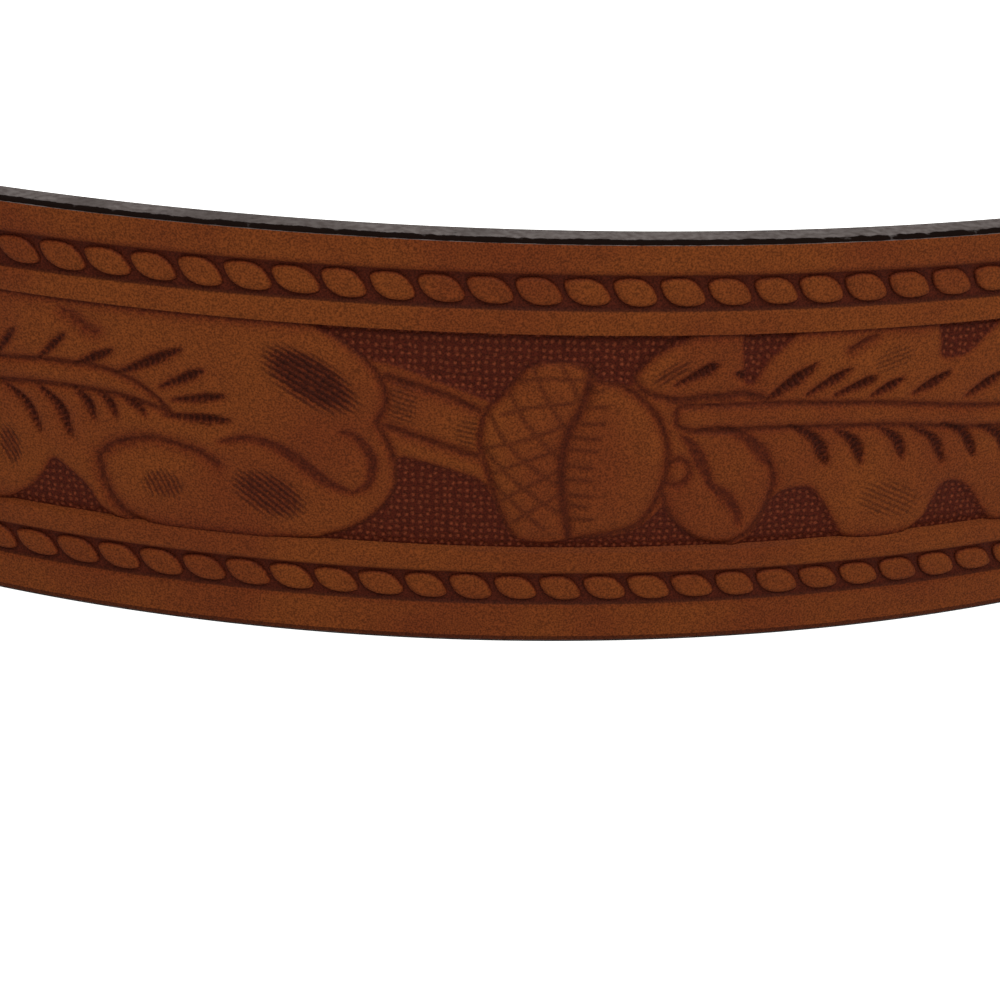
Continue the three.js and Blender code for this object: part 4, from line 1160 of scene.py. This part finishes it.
def plain_leather():
    """The same dyed hide untooled, with a stained crease beside each edge."""
    material, tree, shader, colour = shaded(
        "plain_vegetable_tanned_leather", 2200.0, 2.0, ("622C10", "6D3314", "57240D"), 0.00008,
        roughness=0.58, specular_ior_level=0.15)
    crease = add_node(tree, "ShaderNodeAttribute", attribute_name="crease").outputs["Fac"]
    share = add_node(tree, "ShaderNodeMapRange", (crease, 0.3, 0.8, 0.0, 1.0), **EASED)
    colour = add_node(tree, "ShaderNodeMix", {
        SHARE: share, UNDER: colour, OVER: from_hex(DEEP_STAIN)}, data_type="RGBA")
    tree.links.new(colour.outputs[2], shader.inputs["Base Color"])
    return material


def keeper_mesh(material):
    """The keeper: rounded bands swept over its outside, with the creases, and back over its inside."""
    inner = FLAP_BACK_DEPTH - GAP
    outer = FREE_END_OVER_DEPTH + STRAP_THICKNESS / 2 + GAP
    half_height = HALF_STRAP + KEEPER_SIDE_PLAY
    middle = (inner + outer) / 2
    start = HEEL_AT + KEEPER_SETBACK - KEEPER_WIDTH / 2

    def band(grow, corner):
        half_depth = (outer - inner) / 2 + grow
        half_up = half_height + grow
        outline = []
        for sign_x, sign_y, first in ((1, 1, 0), (-1, 1, 90), (-1, -1, 180), (1, -1, 270)):
            for angle in np.linspace(first, first + 90, 7):
                turn = math.radians(angle)
                outline.append((middle + sign_x * (half_depth - corner) + corner * math.cos(turn),
                                sign_y * (half_up - corner) + corner * math.sin(turn)))
        return np.array(outline)

    wall = KEEPER_THICKNESS
    crease = [(0.0, wall - 0.35, 0.0), (0.12, wall - 0.1, 0.0), (0.35, wall, 0.0), (1.25, wall, 0.0),
              (1.5, wall - 0.22, 1.0), (1.75, wall, 0.0)]
    outside = crease + [(KEEPER_WIDTH / 2, wall, 0.0)] + [
        (KEEPER_WIDTH - along, grow, dark) for along, grow, dark in crease[::-1]]
    rings, darks = [], []
    for along, grow, dark in outside + [(KEEPER_WIDTH, 0.02, 0.0), (0.0, 0.02, 0.0)]:
        outline = band(grow, 0.35 + 1.45 * grow / wall)
        rings.append(place(start + along, outline[:, 0], outline[:, 1]))
        darks += [dark] * len(outline)
    keeper = mesh_object("keeper_loop", *joined_parts(swept(rings, True)), [material])
    set_masks(keeper, {"crease": darks})
    return keeper


keeper = keeper_mesh(plain_leather())
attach(keeper, "root")
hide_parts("keeper")

# Two posts hold the fold and the keeper between them: turned brass barrels with plain low domed
# caps, screwed together from both sides and plated like the buckle.
POST_RADIUS = 2.4
POST_CAP_RADIUS = 4.5
POST_CAP_THICKNESS = 0.9
POST_BOTTOM_DEPTH = FLAP_BACK_DEPTH - GAP - POST_CAP_THICKNESS
POST_CAP = [(0.02, 0.0), (POST_CAP_RADIUS - 0.9, 0.06), (POST_CAP_RADIUS - 0.3, 0.22),
            (POST_CAP_RADIUS, 0.5), (POST_CAP_RADIUS, POST_CAP_THICKNESS), (POST_RADIUS, POST_CAP_THICKNESS)]
post_profile = [(radius, POST_BOTTOM_DEPTH + inward) for radius, inward in POST_CAP]
post_profile += [(radius, POST_TOP_DEPTH - inward) for radius, inward in POST_CAP[::-1]]
post_x, post_y = round_section(1.0, 1.0, 40)
up = np.array([0.0, 0.0, 1.0])
for number, setback in enumerate(POST_SETBACKS):
    middle = place(HEEL_AT + setback, 0.0, 0.0)
    out = np.append(outward(HEEL_AT + setback), 0.0)
    turned_round = np.outer(post_x, np.cross(out, up)) + np.outer(post_y, up)
    rings = [middle + out * depth + turned_round * radius for radius, depth in post_profile]
    post = mesh_object("screw_post_" + str(number + 1), *joined_parts(swept(rings)), [metal])
    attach(post, "root")
    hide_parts("post_" + str(number + 1))

# Studio: a pale floor and surround, white to the camera and dimmer as light on the belt,
# and plain soft light from above and in front
FLOOR_GLOW = 0.1
KEY_WATTS = 13.0
FILL_WATTS = 4.7
SURROUND_LIGHT = 0.27
floor = mesh_object("studio_floor", [
    (-1500.0, -1500.0, 0.0), (1500.0, -1500.0, 0.0), (1500.0, 1500.0, 0.0), (-1500.0, 1500.0, 0.0)],
    [(0, 1, 2, 3)])
floor_material, floor_tree, floor_shader, _ = new_material(
    "pale_floor", roughness=0.9, emission_color=(1.0, 1.0, 1.0, 1.0))
floor_shader.inputs["Base Color"].default_value = from_hex("F4F4F2")
seen = add_node(floor_tree, "ShaderNodeLightPath")
glow = add_node(floor_tree, "ShaderNodeMapRange", (seen.outputs["Is Camera Ray"], 0.0, 1.0, FLOOR_GLOW, 1.0))
floor_tree.links.new(glow.outputs["Result"], floor_shader.inputs["Emission Strength"])
floor.data.materials.append(floor_material)


def soft_light(name, place_m, aim_m, size, power):
    data = bpy.data.lights.new(name, "AREA")
    data.shape = "SQUARE"
    data.size = size
    data.energy = power
    light = bpy.data.objects.new(name, data)
    bpy.context.scene.collection.objects.link(light)
    light.location = place_m
    light.rotation_euler = (Vector(aim_m) - Vector(place_m)).to_track_quat("-Z", "Y").to_euler()


soft_light("key_light", (0.35, -0.9, 1.2), (0.0, 0.0, 0.0), 0.9, KEY_WATTS)
soft_light("fill_light", (-0.8, 0.5, 1.3), (0.0, 0.0, 0.0), 1.0, FILL_WATTS)
world = bpy.data.worlds.new("white_surround")
bpy.context.scene.world = world
world.use_nodes = True
surround = world.node_tree.nodes["Background"]
seen = add_node(world.node_tree, "ShaderNodeLightPath")
glow = add_node(world.node_tree, "ShaderNodeMapRange", (
    seen.outputs["Is Camera Ray"], 0.0, 1.0, SURROUND_LIGHT, 1.0))
world.node_tree.links.new(glow.outputs["Result"], surround.inputs["Strength"])
surround.inputs["Color"].default_value = (1.0, 1.0, 1.0, 1.0)
bpy.context.scene.view_settings.view_transform = "Standard"
